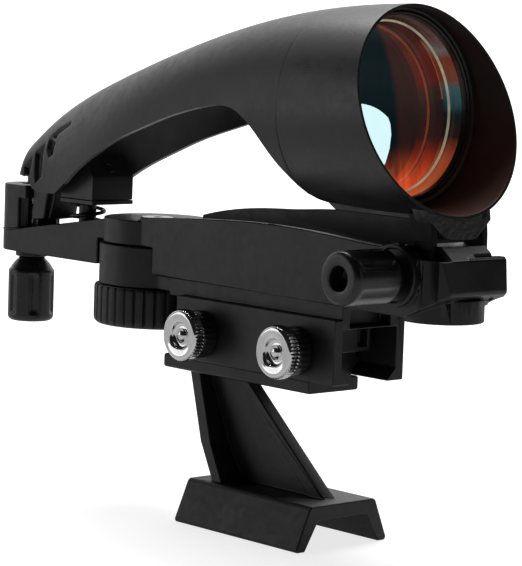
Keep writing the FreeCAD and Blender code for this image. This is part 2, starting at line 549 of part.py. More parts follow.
def head(outer, cavity):
    shell = outer.cut(cavity).cut(spline_prism_y(SCOOP, SCOOP_REST, -40, 40))
    # mouth plane, leaning back
    beyond = Part.makeBox(200, 200, 200, V(0, -100, -100))
    beyond.rotate(V(0, 0, 0), V(0, 1, 0), -MOUTH_TILT)
    beyond.translate(V(MOUTH_X, 0, MOUTH_Z))
    shell = shell.cut(beyond)
    # stepped window seat
    shell = shell.fuse(at_window(cyl_x(28.5, -7.6, 4.4)).common(outer))
    shell = shell.cut(at_window(cyl_x(WINDOW_CLEAR_R, -9.0, 0.0)))
    shell = shell.cut(at_window(cyl_x(WINDOW_R + 0.06, -5.9, 0.0)))
    shell = shell.cut(at_window(cyl_x(24.6, -0.01, 6.0)))
    # chin under the mouth, keel behind it, two hinge lugs
    chin = prism_x(CHIN, 50.5, 63.8).cut(prism_y(CHIN_REAR, -20, 20)).cut(cavity)
    keel = prism_y(KEEL, -6.0, 6.0).cut(cavity)
    lugs = []
    for y0, y1 in ((-10.3, -8.3), (8.3, 10.3)):
        lug = prism_y(LUG, y0, y1).fuse(cyl_y(HINGE_X, HINGE_Z, 3.2, y0, y1))
        lugs.append(lug.cut(cavity))
    shell = shell.fuse([chin, keel] + lugs)
    shell = shell.cut(cyl_y(HINGE_X, HINGE_Z, PIN_R + 0.06, -14, 14))
    # neck under the tail, reaching into the tower around the screw
    neck = prism_y(NECK, -4.7, 4.7)
    bridge = prism_y(NECK_BRIDGE, -8.2, 8.2).common(outer)
    shell = shell.fuse(neck.fuse([prism_y(NECK_WIDE, -6.3, 6.3), bridge]))
    shell = shell.cut(cyl_z(ALT_X, 0, 3.03, 70.0, 85.0))
    for side in (-1, 1):
        for x, far_y, z, half in GROOVES:
            y = side * far_y
            groove = cyl(GROOVE_R, 2 * half, (x, y, z - half))
            groove = groove.fuse([Part.makeSphere(GROOVE_R, V(x, y, z - half)),
                                  Part.makeSphere(GROOVE_R, V(x, y, z + half))])
            groove.rotate(V(x, y, z), V(0, 1, 0), 4)
            shell = shell.cut(groove)
    # loose scraps are left out
    return max(shell.Solids, key=lambda solid: solid.Volume)


def window():
    """Meniscus lens, convex to the front."""
    front = Part.makeSphere(230.0, V(0, 0, 0))
    front.translate(V(-230.0 - 0.05, 0, 0))
    rear = Part.makeSphere(228.0, V(0, 0, 0))
    rear.translate(V(-228.0 - 4.4, 0, 0))
    lens = cyl_x(WINDOW_R, -8.0, 2.0).common(front).cut(rear)
    return at_window(lens.common(cyl_x(WINDOW_R, -8.0, 0.0)))


hood_outer = hood_loft(STATIONS, 0.0)
hood_cavity = hood_loft(CAVITY_STATIONS, WALL)
save("head_shell", head(hood_outer, hood_cavity))
save("reflex_window", window())
save("window_gasket", at_window(
    cyl_x(WINDOW_R, -1.0, 0.75).cut(cyl_x(WINDOW_CLEAR_R, -2, 2))))
save("window_retainer", at_window(cyl_x(24.5, 0.85, 4.3).cut(cyl_x(23.6, 0, 6))))

# ---------------------------------------------------------------------------
# Emitter under the tail: housing, cover, screws, lamp and reticle
# ---------------------------------------------------------------------------
EMITTER_X0, EMITTER_X1 = -92.2, -76.8
EMITTER_HW = 7.7
EMITTER_SCREWS = [(x, y) for x in (-90.6, -78.6) for y in (-5.9, 5.9)]
LAMP_AXIS = V(1, 0, 0.19)
LAMP_AXIS.normalize()
LED_R, LED_L = 1.5, 2.4
LED_BASE = V(-87.3, 0, 92.27)
# x, z
HOUSING_SIDE = [(EMITTER_X0, 85.3), (EMITTER_X1, 85.3), (EMITTER_X1, 92.2), (-81.2, 97.9),
                (EMITTER_X0, 98.0)]
HOUSING_CAVITY = [(-91.0, 84.0), (-78.0, 84.0), (-78.0, 91.8), (-81.8, 96.7), (-91.0, 96.8)]


def emitter_housing(cavity):
    body = prism_y(HOUSING_SIDE, -EMITTER_HW, EMITTER_HW).cut(prism_y(HOUSING_CAVITY, -6.4, 6.4))
    # disc seat behind the sloped face, bored along the lamp's axis
    seat = box(-82.4, -77.2, -3.4, 3.4, 90.0, 97.2)
    body = body.fuse(seat.common(prism_y(HOUSING_SIDE, -4.0, 4.0)))
    body = body.cut(cyl(1.5, 9, (-84.0, 0, 92.9), LAMP_AXIS))
    body = body.cut(cyl(1.95, 2.2, (-83.6, 0, 92.976), LAMP_AXIS))
    for x, y in EMITTER_SCREWS:
        post = cyl_z(x, y, 1.4, 85.3, 94.0)
        body = body.fuse(post.common(box(-92, -77, -EMITTER_HW, EMITTER_HW, 85, 95)))
        body = body.cut(cyl_z(x, y, 0.82, 85.0, 91.0))
    return max(body.common(cavity).Solids, key=lambda solid: solid.Volume)


def emitter_cover():
    cover = box(EMITTER_X0, EMITTER_X1, -EMITTER_HW, EMITTER_HW, 84.05, 85.25)
    for x, y in EMITTER_SCREWS:
        cover = cover.cut(cyl_z(x, y, 0.85, 84, 86))
        cover = cover.cut(Part.makeCone(1.7, 0.9, 0.8, V(x, y, 84.0)))
    return cover.cut(cyl_z(POST_X, 0, 3.0, 83, 86)).removeSplitter()


def emitter_screw(x, y):
    head_cone = Part.makeCone(1.5, 0.75, 0.72, V(x, y, 84.08))
    return head_cone.fuse(cyl_z(x, y, 0.75, 84.7, 90.0)).removeSplitter()


def led():
    body = cyl(LED_R, LED_L, LED_BASE, LAMP_AXIS)
    body = body.fuse(Part.makeSphere(LED_R, LED_BASE + LAMP_AXIS * LED_L))
    return body.cut(box(-95, -87.35, -5, 5, 80, 100)).removeSplitter()


save("emitter_housing", emitter_housing(hood_cavity))
save("emitter_cover", emitter_cover())
save("emitter_screws", Part.makeCompound([emitter_screw(x, y) for x, y in EMITTER_SCREWS]))
save("lamp_board", box(-88.4, -87.4, -5.0, 5.0, 87.2, 95.6))
save("lamp_led", led())
save("reticle_disc", cyl(1.9, 0.5, (-82.0, 0, 93.28), LAMP_AXIS))
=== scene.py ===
"""A reflex sight: a scoop-shaped hood with a round window, in a bracket frame on a clamp base.

+X points from the hood's tail to its mouth, +Z is up, the floor is z = 0. The middle plane is
y = 0 and "near" means the -Y side, where the thumbscrews are.
Shapes are given in millimetres and scaled by MM; lights are placed in metres.
"""
import json
import math

import bpy
import bmesh
import numpy as np
from mathutils import Matrix, Vector


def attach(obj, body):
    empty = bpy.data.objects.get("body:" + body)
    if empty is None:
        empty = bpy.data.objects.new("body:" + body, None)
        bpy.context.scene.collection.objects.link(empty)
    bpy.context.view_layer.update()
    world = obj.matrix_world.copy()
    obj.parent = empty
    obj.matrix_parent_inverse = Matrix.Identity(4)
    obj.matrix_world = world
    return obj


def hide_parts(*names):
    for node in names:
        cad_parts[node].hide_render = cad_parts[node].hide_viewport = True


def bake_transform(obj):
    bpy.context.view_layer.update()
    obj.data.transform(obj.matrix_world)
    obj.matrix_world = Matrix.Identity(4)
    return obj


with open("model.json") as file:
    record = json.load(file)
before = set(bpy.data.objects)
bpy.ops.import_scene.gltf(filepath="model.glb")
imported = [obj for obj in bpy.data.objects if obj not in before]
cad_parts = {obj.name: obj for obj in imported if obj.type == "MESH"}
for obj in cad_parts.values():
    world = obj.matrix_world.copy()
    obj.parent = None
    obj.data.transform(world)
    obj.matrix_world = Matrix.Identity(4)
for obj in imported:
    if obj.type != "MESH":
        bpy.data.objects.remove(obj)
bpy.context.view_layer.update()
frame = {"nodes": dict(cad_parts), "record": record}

MM = 0.001
NODES = frame["nodes"]
BODY = {n: b for b, ns in frame["record"]["behaviour"]["bodies"].items() for n in ns}
SCENE = bpy.context.scene

# window: centre of its front, and its axis, which rises towards the mouth
WINDOW_CENTRE = (38.0, 0.0, 118.7)
WINDOW_TILT = math.radians(5.5)
WINDOW_AXIS = Vector((math.cos(WINDOW_TILT), 0.0, math.sin(WINDOW_TILT)))


def smoothstep(a, b, x):
    t = np.clip((x - a) / (b - a), 0.0, 1.0)
    return t * t * (3 - 2 * t)


# ---------------------------------------------------------------------------
# shader graphs
# ---------------------------------------------------------------------------
def rgba(colour, factor=1.0, add=0.0):
    """Opaque colour, scaled by one factor or by one per channel."""
    return (*(np.array(colour) * factor + add).tolist(), 1.0)


class Graph:
    """Node helpers for a material or a world; values may be numbers or sockets."""

    def __init__(self, owner):
        owner.use_nodes = True
        self.tree = owner.node_tree
        self.tree.nodes.clear()

    def node(self, kind, **settings):
        node = self.tree.nodes.new(kind)
        for key, value in settings.items():
            setattr(node, key, value)
        return node

    def put(self, socket, value):
        if isinstance(value, bpy.types.NodeSocket):
            self.tree.links.new(value, socket)
        else:
            socket.default_value = value

    def math(self, operation, a, b, clamp=False):
        node = self.node("ShaderNodeMath", operation=operation, use_clamp=clamp)
        self.put(node.inputs[0], a)
        self.put(node.inputs[1], b)
        return node.outputs[0]

    def plus(self, a, b, clamp=False):
        return self.math("ADD", a, b, clamp)

    def minus(self, a, b, clamp=False):
        return self.math("SUBTRACT", a, b, clamp)

    def times(self, a, b):
        return self.math("MULTIPLY", a, b)

    def remap(self, value, low, high, to=(0.0, 1.0), **settings):
        """Clamped map of low..high onto the range to."""
        node = self.node("ShaderNodeMapRange", **settings)
        for i, v in enumerate((value, low, high, *to)):
            self.put(node.inputs[i], v)
        return node.outputs[0]

    def mix(self, factor, a, b):
        """Colour a where factor is 0, b where it is 1."""
        node = self.node("ShaderNodeMix", data_type="RGBA")
        self.put(node.inputs[0], factor)
        self.put(node.inputs[6], a)
        self.put(node.inputs[7], b)
        return node.outputs[2]

    def shader(self, kind, **inputs):
        """A shader node's output; an input's name is given in lower case."""
        node = self.node(kind)
        for key, value in inputs.items():
            self.put(node.inputs[key.capitalize()], value)
        return node.outputs[0]

    def add_shader(self, a, b):
        node = self.node("ShaderNodeAddShader")
        self.put(node.inputs[0], a)
        self.put(node.inputs[1], b)
        return node.outputs[0]

    def mix_shader(self, factor, a, b):
        node = self.node("ShaderNodeMixShader")
        for socket, value in zip(node.inputs, (factor, a, b)):
            self.put(socket, value)
        return node.outputs[0]


class Material(Graph):
    """A material round one Principled shader; object coordinates are metres."""

    def __init__(self, name):
        self.material = bpy.data.materials.new(name)
        super().__init__(self.material)
        self.output = self.node("ShaderNodeOutputMaterial")
        self.principled = self.node("ShaderNodeBsdfPrincipled")
        self.put(self.output.inputs[0], self.principled.outputs[0])
        self.place = self.node("ShaderNodeTexCoord").outputs["Object"]

    def set(self, name, value):
        self.put(self.principled.inputs[name], value)

    def xyz(self):
        node = self.node("ShaderNodeSeparateXYZ")
        self.put(node.inputs[0], self.place)
        return node.outputs

    def noise(self, mm, detail=2.0, rough=0.5, stretch=None):
        """Noise whose features are about mm millimetres across."""
        place = self.place
        if stretch:
            mapping = self.node("ShaderNodeMapping")
            mapping.inputs["Scale"].default_value = stretch
            self.put(mapping.inputs["Vector"], place)
            place = mapping.outputs[0]
        node = self.node("ShaderNodeTexNoise")
        self.put(node.inputs["Vector"], place)
        self.put(node.inputs["Scale"], 1000.0 / mm)
        self.put(node.inputs["Detail"], detail)
        self.put(node.inputs["Roughness"], rough)
        return node.outputs["Fac"]

    def cells(self, mm):
        node = self.node("ShaderNodeTexVoronoi", feature="SMOOTH_F1")
        self.put(node.inputs["Vector"], self.place)
        self.put(node.inputs["Scale"], 1000.0 / mm)
        return node.outputs["Distance"]

    def edges(self, mm, low, high):
        """1 on convex and concave edges, 0 on open faces."""
        rounded = self.node("ShaderNodeBevel", samples=6)
        rounded.inputs["Radius"].default_value = mm * MM
        geometry = self.node("ShaderNodeNewGeometry")
        dot = self.node("ShaderNodeVectorMath", operation="DOT_PRODUCT")
        self.put(dot.inputs[0], rounded.outputs[0])
        self.put(dot.inputs[1], geometry.outputs["Normal"])
        return self.remap(self.minus(1.0, dot.outputs["Value"]), low, high)

    def bump(self, height, mm, under=None):
        node = self.node("ShaderNodeBump")
        node.inputs["Strength"].default_value = 1.0
        node.inputs["Distance"].default_value = mm * MM
        self.put(node.inputs["Height"], height)
        if under is not None:
            self.put(node.inputs["Normal"], under)
        return node.outputs[0]


# ---------------------------------------------------------------------------
# materials
# ---------------------------------------------------------------------------
def plastic(name, colour, rough, grain, height, wear, wear_colour=(0.085, 0.085, 0.09),
            spec=0.5, coat=0.0, spread=0.10, pits=0.0):
    """Moulded plastic: stippled skin, faint flow marks, handling marks, rubbed edges.

    grain and height: width and depth of the stipple, mm; wear: how far edges turn to
    wear_colour; spread: variation of the roughness; pits: share of round pits in the stipple.
    """
    g = Material(name)
    fine = g.noise(mm=grain, rough=0.55)
    micro = g.noise(mm=grain * 0.35, detail=1.0)
    cloud = g.noise(mm=9.0, detail=3.0, rough=0.55)
    broad = g.noise(mm=38.0)
    handling = g.noise(mm=2.2, detail=5.0, rough=0.6)

    rubbed = g.edges(mm=0.55, low=0.015, high=0.22)
    patchy = g.remap(g.noise(mm=1.4, detail=4.0, rough=0.6), 0.36, 0.66, to=(0.15, 1.0))
    rubbed = g.times(g.times(rubbed, patchy), wear)

    tone = g.plus(g.times(cloud, 0.6), g.times(broad, 0.4))
    base = g.mix(g.remap(tone, 0.35, 0.65), rgba(colour, 0.75), rgba(colour, 1.25))
    speck = g.remap(fine, 0.60, 0.78, to=(0.0, 0.35))
    base = g.mix(speck, base, rgba(colour, 1.9, add=0.004))
    g.set("Base Color", g.mix(rubbed, base, rgba(wear_colour)))

    r = g.plus(rough - spread * 0.5, g.times(g.remap(handling, 0.3, 0.7), spread))
    r = g.plus(r, g.times(g.remap(cloud, 0.3, 0.7, to=(-1.0, 1.0)), spread * 0.4))
    g.set("Roughness", g.minus(r, g.times(rubbed, 0.10), clamp=True))

    stipple = g.plus(g.times(fine, 0.75), g.times(micro, 0.25))
    if pits:
        stipple = g.plus(stipple, g.times(g.cells(mm=grain * 2.2), pits))
    g.set("Normal", g.bump(stipple, mm=height, under=g.bump(cloud, mm=0.036)))
    g.set("Specular IOR Level", spec)
    g.set("Coat Weight", coat)
    g.set("Coat Roughness", 0.25)
    return g.material


def metal(name, colour, rough, scratch, wear, dark=(0.05, 0.05, 0.055), spread=0.10):
    """Bright metal: scratch is the depth of its fine marks, mm; wear the share of dark spots."""
    g = Material(name)
    fine = g.noise(mm=0.16, detail=4.0, rough=0.6, stretch=(1, 1, 1))
    spot = g.noise(mm=1.6, detail=4.0, rough=0.6)
    cloud = g.noise(mm=6.0)
    edge = g.edges(mm=0.35, low=0.02, high=0.3)
    g.set("Metallic", 1.0)
    base = g.mix(g.remap(cloud, 0.35, 0.65), rgba(colour, 0.90), rgba(colour, 1.05))
    base = g.mix(g.times(g.remap(spot, 0.58, 0.75), wear), base, rgba(dark))
    base = g.mix(g.times(edge, 0.35), base, rgba(colour, 1.2))
    g.set("Base Color", base)
    spotted = g.times(g.remap(spot, 0.3, 0.7), spread)
    g.set("Roughness", g.plus(rough - spread * 0.4, spotted, clamp=True))
    g.set("Normal", g.bump(fine, mm=scratch))
    return g.material


def soft_rubber(name, colour, rough):
    g = Material(name)
    fine = g.noise(mm=0.3, detail=3.0, rough=0.6)
    cloud = g.noise(mm=5.0, detail=3.0, rough=0.6)
    g.set("Base Color", g.mix(g.remap(cloud, 0.3, 0.7), rgba(colour, 0.8), rgba(colour, 1.2)))
    g.set("Roughness", g.remap(fine, 0.3, 0.7, to=(rough - 0.1, rough + 0.1)))
    g.set("Normal", g.bump(fine, mm=0.02))
    return g.material


def coated_glass(name, through, reflected, dust, painted_glow=False):
    """A dichroic surface: what it doesn't pass it reflects; faint dust and wipe marks.

    painted_glow: paints in, as emission, the orange light the coating would throw back from the
    bright lower edge of the hood, which is painted light, and dims the coating's reflection on
    the near side, a painted reflection pattern.
    """
    g = Material(name)
    g.tree.nodes.remove(g.principled)
    facing = g.node("ShaderNodeLayerWeight")
    facing.inputs["Blend"].default_value = 0.35
    wipe = g.noise(mm=7.0, detail=3.0, rough=0.6, stretch=(1, 1, 0.25))
    shine = g.mix(g.remap(facing.outputs["Facing"], 0.15, 0.95),
                  rgba(reflected), rgba(reflected, (1.05, 1.6, 1.7)))
    shine = g.mix(g.remap(wipe, 0.45, 0.75, to=(0.0, 0.25)),
                  shine, rgba(reflected, (0.9, 1.25, 1.2)))
    if painted_glow:
        # y and height above the window's centre, mm
        x_y_z = g.xyz()
        y = g.times(x_y_z["Y"], 1000.0)
        z = g.minus(g.times(x_y_z["Z"], 1000.0), WINDOW_CENTRE[2])
        # far side of a line that bows with the height; painted reflection: the coating's
        # reflection stays on the far side and is dimmed to a tenth on the near side
        bow = g.times(g.plus(z, 5.0), g.plus(z, 5.0))
        side = g.remap(g.plus(y, g.times(bow, 0.008)), 4.6, 6.6)
        shine = g.mix(side, rgba(reflected, 0.10), shine)

    haze = g.remap(wipe, 0.3, 0.7, to=(0.012, 0.03))
    glossy = g.shader("ShaderNodeBsdfGlossy", color=shine, roughness=haze)
    tint = g.mix(g.remap(wipe, 0.3, 0.7), rgba(through), rgba(through, 0.97))
    surface = g.add_shader(g.shader("ShaderNodeBsdfTransparent", color=tint), glossy)
    if painted_glow:
        # painted glow, as emission: a streaked orange painted reflection along the bottom of the
        # window, a dim brown painted reflection on the far side and a faint teal one on the near
        # side
        streak = g.noise(mm=5.0, detail=4.0, rough=0.65, stretch=(1, 1, 0.22))
        streak = g.remap(streak, 0.34, 0.66, to=(0.25, 1.0))
        low = g.remap(z, -19.5, -9.5, to=(1.0, 0.0))
        low = g.times(g.times(g.times(low, low), streak), g.remap(y, -14.0, -6.0))
        patches = g.noise(mm=14.0, detail=3.0, stretch=(1, 1, 0.4))
        painted_warm = g.times(side, g.remap(patches, 0.3, 0.7, to=(0.45, 1.0)))
        teal, brown = (0.0006, 0.0045, 0.0065), (0.020, 0.0078, 0.0062)
        orange = (0.62, 0.095, 0.022)
        glow = g.mix(low, g.mix(painted_warm, rgba(teal), rgba(brown)), rgba(orange))
        light = g.shader("ShaderNodeEmission", color=glow, strength=1.0)
        surface = g.add_shader(surface, light)

    powder = g.shader("ShaderNodeBsdfDiffuse", color=rgba((0.55, 0.55, 0.55)))
    specks = g.remap(g.noise(mm=0.5, detail=3.0, rough=0.7), 0.62, 0.8)
    g.put(g.output.inputs[0], g.mix_shader(g.times(specks, dust), surface, powder))
    return g.material


# painted reflection bands for the window's ground rim, which glow: height as a share of the way
# from z 95 to 144, colour
PAINTED_RIM_BANDS = [
    (0.0, (0.50, 0.09, 0.025)), (0.22, (0.34, 0.06, 0.02)), (0.34, (0.02, 0.008, 0.007)),
    (0.46, (0.006, 0.010, 0.012)), (0.54, (0.008, 0.060, 0.075)), (0.60, (0.02, 0.08, 0.09)),
    (0.65, (0.13, 0.028, 0.008)), (0.76, (0.13, 0.030, 0.010)), (0.81, (0.12, 0.11, 0.115)),
    (0.87, (0.05, 0.012, 0.012)), (1.0, (0.008, 0.006, 0.006)),
]


def lens_edge(name):
    """The ground rim of the window, seen through its face, painted in glowing bands of the
    coating's colours: a painted reflection.
    """
    g = Material(name)
    ragged = g.times(g.noise(mm=4.0, detail=3.0, rough=0.6), 2.0)
    z = g.plus(g.times(g.xyz()["Z"], 1000.0), ragged)
    bands = g.node("ShaderNodeValToRGB")
    g.put(bands.inputs[0], g.remap(z, 95.0, 144.0))
    stops = bands.color_ramp.elements
    while len(stops) < len(PAINTED_RIM_BANDS):
        stops.new(0.5)
    for stop, (position, colour) in zip(stops, PAINTED_RIM_BANDS):
        stop.position = position
        stop.color = rgba(colour)
    g.set("Base Color", bands.outputs[0])
    # the bands glow as emission: painted light
    g.set("Emission Color", bands.outputs[0])
    g.set("Emission Strength", 0.6)
    ground = g.noise(mm=0.6, detail=3.0, rough=0.6)
    g.set("Roughness", g.remap(ground, 0.3, 0.7, to=(0.15, 0.3)))
    g.set("Normal", g.bump(g.noise(mm=0.4, detail=3.0, rough=0.6), mm=0.004))
    return g.material


def painted_highlight_seal(name):
    """Pale elastomer bead with a painted highlight: it glows in place of the light it catches at
    the window's edge.
    """
    g = Material(name)
    fine = g.noise(mm=0.5, detail=3.0, rough=0.6)
    cloud = g.remap(g.noise(mm=6.0, detail=3.0, rough=0.6), 0.3, 0.7)
    tone = g.mix(cloud, rgba((0.26, 0.24, 0.16)), rgba((0.50, 0.47, 0.34)))
    g.set("Base Color", tone)
    # the glow is a painted highlight
    g.set("Emission Color", tone)
    g.set("Emission Strength", 0.55)
    g.set("Roughness", g.remap(fine, 0.3, 0.7, to=(0.2, 0.4)))
    g.set("Normal", g.bump(fine, mm=0.01))
    return g.material


def clear_plastic(name, colour):
    g = Material(name)
    g.set("Base Color", g.mix(g.noise(mm=2.0, detail=3.0), rgba(colour, 0.92), rgba(colour)))
    g.set("Roughness", g.remap(g.noise(mm=0.8, detail=4.0), 0.3, 0.7, to=(0.06, 0.12)))
    g.set("Transmission Weight", 0.85)
    g.set("Normal", g.bump(g.noise(mm=0.4, detail=3.0), mm=0.002))
    return g.material


def inner_black(name):
    """Smooth inner skin with painted light: painted teal light behind the window, a painted brown
    reflection of the coating in front of it and below, and painted pale grey light on the tail's
    inner wall.
    """
    g = Material(name)
    x_y_z = g.xyz()
    x = x_y_z["X"]
    cloud = g.noise(mm=8.0, detail=3.0, rough=0.55)
    fine = g.noise(mm=0.35)
    # zones in metres, their borders fading
    front = g.remap(g.plus(x, g.times(cloud, 0.004)), 0.034, 0.042)
    rear = g.remap(x, -0.004, -0.035)
    low = g.remap(x_y_z["Z"], 0.126, 0.100)
    tail = g.remap(x, -0.045, -0.074)
    # painted light: brown reflection low in front of the window, pale grey on the tail's inner
    # wall, teal behind the window
    painted_warm = g.mix(low, rgba((0.0075, 0.0078, 0.0088)), rgba((0.115, 0.044, 0.034)))
    grey = g.mix(tail, rgba((0.016, 0.0165, 0.0175)), rgba((0.17, 0.172, 0.178)))
    painted_teal = g.mix(rear, rgba((0.0035, 0.0200, 0.0260)), grey)
    patches = g.remap(cloud, 0.35, 0.7, to=(0.0, 0.30))
    g.set("Base Color", g.mix(patches, g.mix(front, painted_teal, painted_warm), rgba((0.006, 0.006, 0.007))))
    handling = g.noise(mm=2.5, detail=4.0, rough=0.6)
    g.set("Roughness", g.remap(handling, 0.3, 0.7, to=(0.38, 0.50)))
    g.set("Normal", g.bump(fine, mm=0.006))
    g.set("Specular IOR Level", 0.4)
    return g.material


MAT = {
    "shell": plastic("shell_abs", (0.0080, 0.0080, 0.0085), rough=0.37, grain=0.50,
                     height=0.034, wear=0.45, spread=0.12),
    "shell_in": inner_black("shell_inner"),
    # painted highlight: the scoop's cut lip is light grey for the light it catches
    "lip": plastic("scoop_lip_painted_highlight", (0.115, 0.115, 0.12), rough=0.34, grain=0.40,
                   height=0.008, wear=0.6, wear_colour=(0.24, 0.24, 0.25)),
    # painted shade: the lugs are darker and less glossy than the rest, so they stay black as in
    # shadow
    "lug": plastic("lug_painted_shade", (0.0045, 0.0045, 0.0048), rough=0.55, grain=0.34,
                   height=0.010, wear=0.2, spec=0.18),
    "chin": plastic("chin_textured", (0.020, 0.020, 0.021), rough=0.40, grain=0.70,
                    height=0.24, wear=0.3, pits=1.0),
    "frame": plastic("frame_abs", (0.0105, 0.0105, 0.011), rough=0.43, grain=0.34,
                     height=0.010, wear=0.55),
    "clamp": plastic("clamp_abs", (0.0105, 0.0105, 0.011), rough=0.42, grain=0.32,
                     height=0.009, wear=0.55),
    "riser": plastic("riser_abs", (0.0105, 0.0105, 0.0108), rough=0.46, grain=0.36,
                     height=0.011, wear=0.55),
    "dial": plastic("dial_abs", (0.011, 0.011, 0.0115), rough=0.44, grain=0.30,
                    height=0.009, wear=0.5),
    "knob": plastic("knob_plastic", (0.0085, 0.0085, 0.009), rough=0.30, grain=0.28,
                    height=0.005, wear=0.4, coat=0.15),
    "collar": plastic("collar_plastic", (0.012, 0.012, 0.0125), rough=0.36, grain=0.28,
                      height=0.006, wear=0.5),
    "emitter": plastic("emitter_abs", (0.013, 0.013, 0.0135), rough=0.40, grain=0.30,
                       height=0.008, wear=0.45),
    "post": plastic("post_plastic", (0.012, 0.012, 0.012), rough=0.36, grain=0.30,
                    height=0.006, wear=0.3),
    "door": plastic("door_plastic", (0.011, 0.011, 0.0115), rough=0.45, grain=0.30,
                    height=0.010, wear=0.5),
    "ring": plastic("ring_plastic", (0.009, 0.009, 0.0095), rough=0.30, grain=0.25,
                    height=0.004, wear=0.4),
    "chrome": metal("plated_head", (0.80, 0.80, 0.81), rough=0.075, scratch=0.0012,
                    wear=0.05, spread=0.05),
    "knurl": metal("plated_knurl", (0.66, 0.66, 0.67), rough=0.20, scratch=0.003, wear=0.25),
    "steel": metal("turned_steel", (0.55, 0.55, 0.54), rough=0.28, scratch=0.004, wear=0.25),
    "spring": metal("spring_wire", (0.060, 0.060, 0.062), rough=0.34, scratch=0.004, wear=0.3),
    "brass": metal("brass", (0.72, 0.50, 0.22), rough=0.30, scratch=0.004, wear=0.3,
                   dark=(0.20, 0.11, 0.04)),
    # the seal material glows: a painted highlight
    "seal": painted_highlight_seal("seal_grey"),
    "seal_dark": soft_rubber("seal_dark", (0.02, 0.02, 0.018), rough=0.45),
    "cell": metal("cell_steel", (0.62, 0.62, 0.60), rough=0.22, scratch=0.004, wear=0.15),
    "board": plastic("board_laminate", (0.015, 0.075, 0.03), rough=0.38, grain=0.3,
                     height=0.01, wear=0.2, wear_colour=(0.25, 0.30, 0.18)),
    "nylon": soft_rubber("nylon", (0.62, 0.60, 0.54), rough=0.5),
    "lead": soft_rubber("lead_red", (0.40, 0.02, 0.015), rough=0.45),
    "led": clear_plastic("led_red", (0.75, 0.04, 0.03)),
    "disc": clear_plastic("reticle_disc", (0.85, 0.88, 0.88)),
    "glass_back": coated_glass("window_coated", (0.50, 0.66, 0.68), (0.58, 0.085, 0.034),
                               dust=0.03, painted_glow=True),
    "glass_front": coated_glass("window_front", (0.95, 0.985, 0.985), (0.040, 0.036, 0.034),
                                dust=0.012),
    "glass_edge": lens_edge("glass_edge"),
}


# ---------------------------------------------------------------------------
# mesh helpers (millimetres in, metres out)
# ---------------------------------------------------------------------------
def add_object(name, mesh, mats):
    ob = bpy.data.objects.new(name, mesh)
    SCENE.collection.objects.link(ob)
    for key in mats:
        mesh.materials.append(MAT[key])
    return ob


def shade_smooth(mesh, sharp):
    """Smooth faces, but with sharp edges beyond an angle in degrees."""
    mesh.polygons.foreach_set("use_smooth", [True] * len(mesh.polygons))
    mesh.set_sharp_from_angle(angle=math.radians(sharp))


def mesh_piece(name, verts, faces, mats, slot, body=None, replaces=None, sharp=35.0, mat_of=None):
    mesh = bpy.data.meshes.new(name)
    mesh.from_pydata([tuple(float(c) * MM for c in v) for v in verts], [], faces)
    mesh.validate()
    bm = bmesh.new()
    bm.from_mesh(mesh)
    bmesh.ops.remove_doubles(bm, verts=bm.verts, dist=1e-7)
    bmesh.ops.recalc_face_normals(bm, faces=bm.faces)
    bm.to_mesh(mesh)
    bm.free()
    shade_smooth(mesh, sharp)
    ob = add_object(name, mesh, mats)
    if mat_of:
        for face in mesh.polygons:
            face.material_index = mat_of(face)
    if body:
        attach(ob, body)
    if replaces:
        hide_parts(replaces)
    return ob


def bevel(ob, width, limit, clamp=True):
    b = ob.modifiers.new("edge", "BEVEL")
    b.width = width * MM
    b.segments = 3
    b.limit_method = "ANGLE"
    b.angle_limit = math.radians(limit)
    b.use_clamp_overlap = clamp
    b.harden_normals = True
    b.miter_outer = "MITER_ARC"


def revolve(name, profile, origin, axis, body, mats, n, radial=None, **piece):
    """Turned piece. profile: (along, radius[, weight]) from one end to the other.

    radial(angle, radius) gives the patterned radius, blended in by the weight.
    """
    axis = Vector(axis).normalized()
    if abs(axis.z) > 0.9:
        u, v = Vector((1, 0, 0)), Vector((0, 1, 0))
    elif abs(axis.y) > 0.9:
        u, v = Vector((1, 0, 0)), Vector((0, 0, 1))
    else:
        u = Vector((0, 1, 0))
        v = axis.cross(u).normalized()
    origin = Vector(origin)
    verts, faces, rows = [], [], []
    for along, radius, *weight in profile:
        if radius < 1e-6:
            rows.append([len(verts)])
            verts.append(origin + axis * along)
            continue
        row = []
        for i in range(n):
            t = 2 * math.pi * i / n
            r = radius
            if weight and weight[0]:
                r = radius + weight[0] * (radial(t, radius) - radius)
            row.append(len(verts))
            verts.append(origin + axis * along + (u * math.cos(t) + v * math.sin(t)) * r)
        rows.append(row)
    for a, b in zip(rows[:-1], rows[1:]):
        for i in range(n):
            j = (i + 1) % n
            if len(a) == 1:
                faces.append((a[0], b[i], b[j]))
            elif len(b) == 1:
                faces.append((a[i], a[j], b[0]))
            else:
                faces.append((a[i], a[j], b[j], b[i]))
    return mesh_piece(name, verts, faces, mats, body=body, **piece)


def prism(name, outline, axis, span, mat="shell", body="head", edge=0.4, slot="abs_black",
          replaces=None):
    """Outline extruded over span with edges rounded by edge.

    Outline points are (y, z) for axis x and (x, z) for axis y.
    """
    n = len(outline)
    verts = [(a, p, q) if axis == "x" else (p, a, q) for a in span for p, q in outline]
    faces = [tuple(range(n)), tuple(range(2 * n - 1, n - 1, -1))]
    for i in range(n):
        j = (i + 1) % n
        faces.append((i, n + i, n + j, j))
    ob = mesh_piece(name, verts, faces, (mat,), slot, body, replaces, sharp=25)
    bevel(ob, edge, limit=25)
    return ob


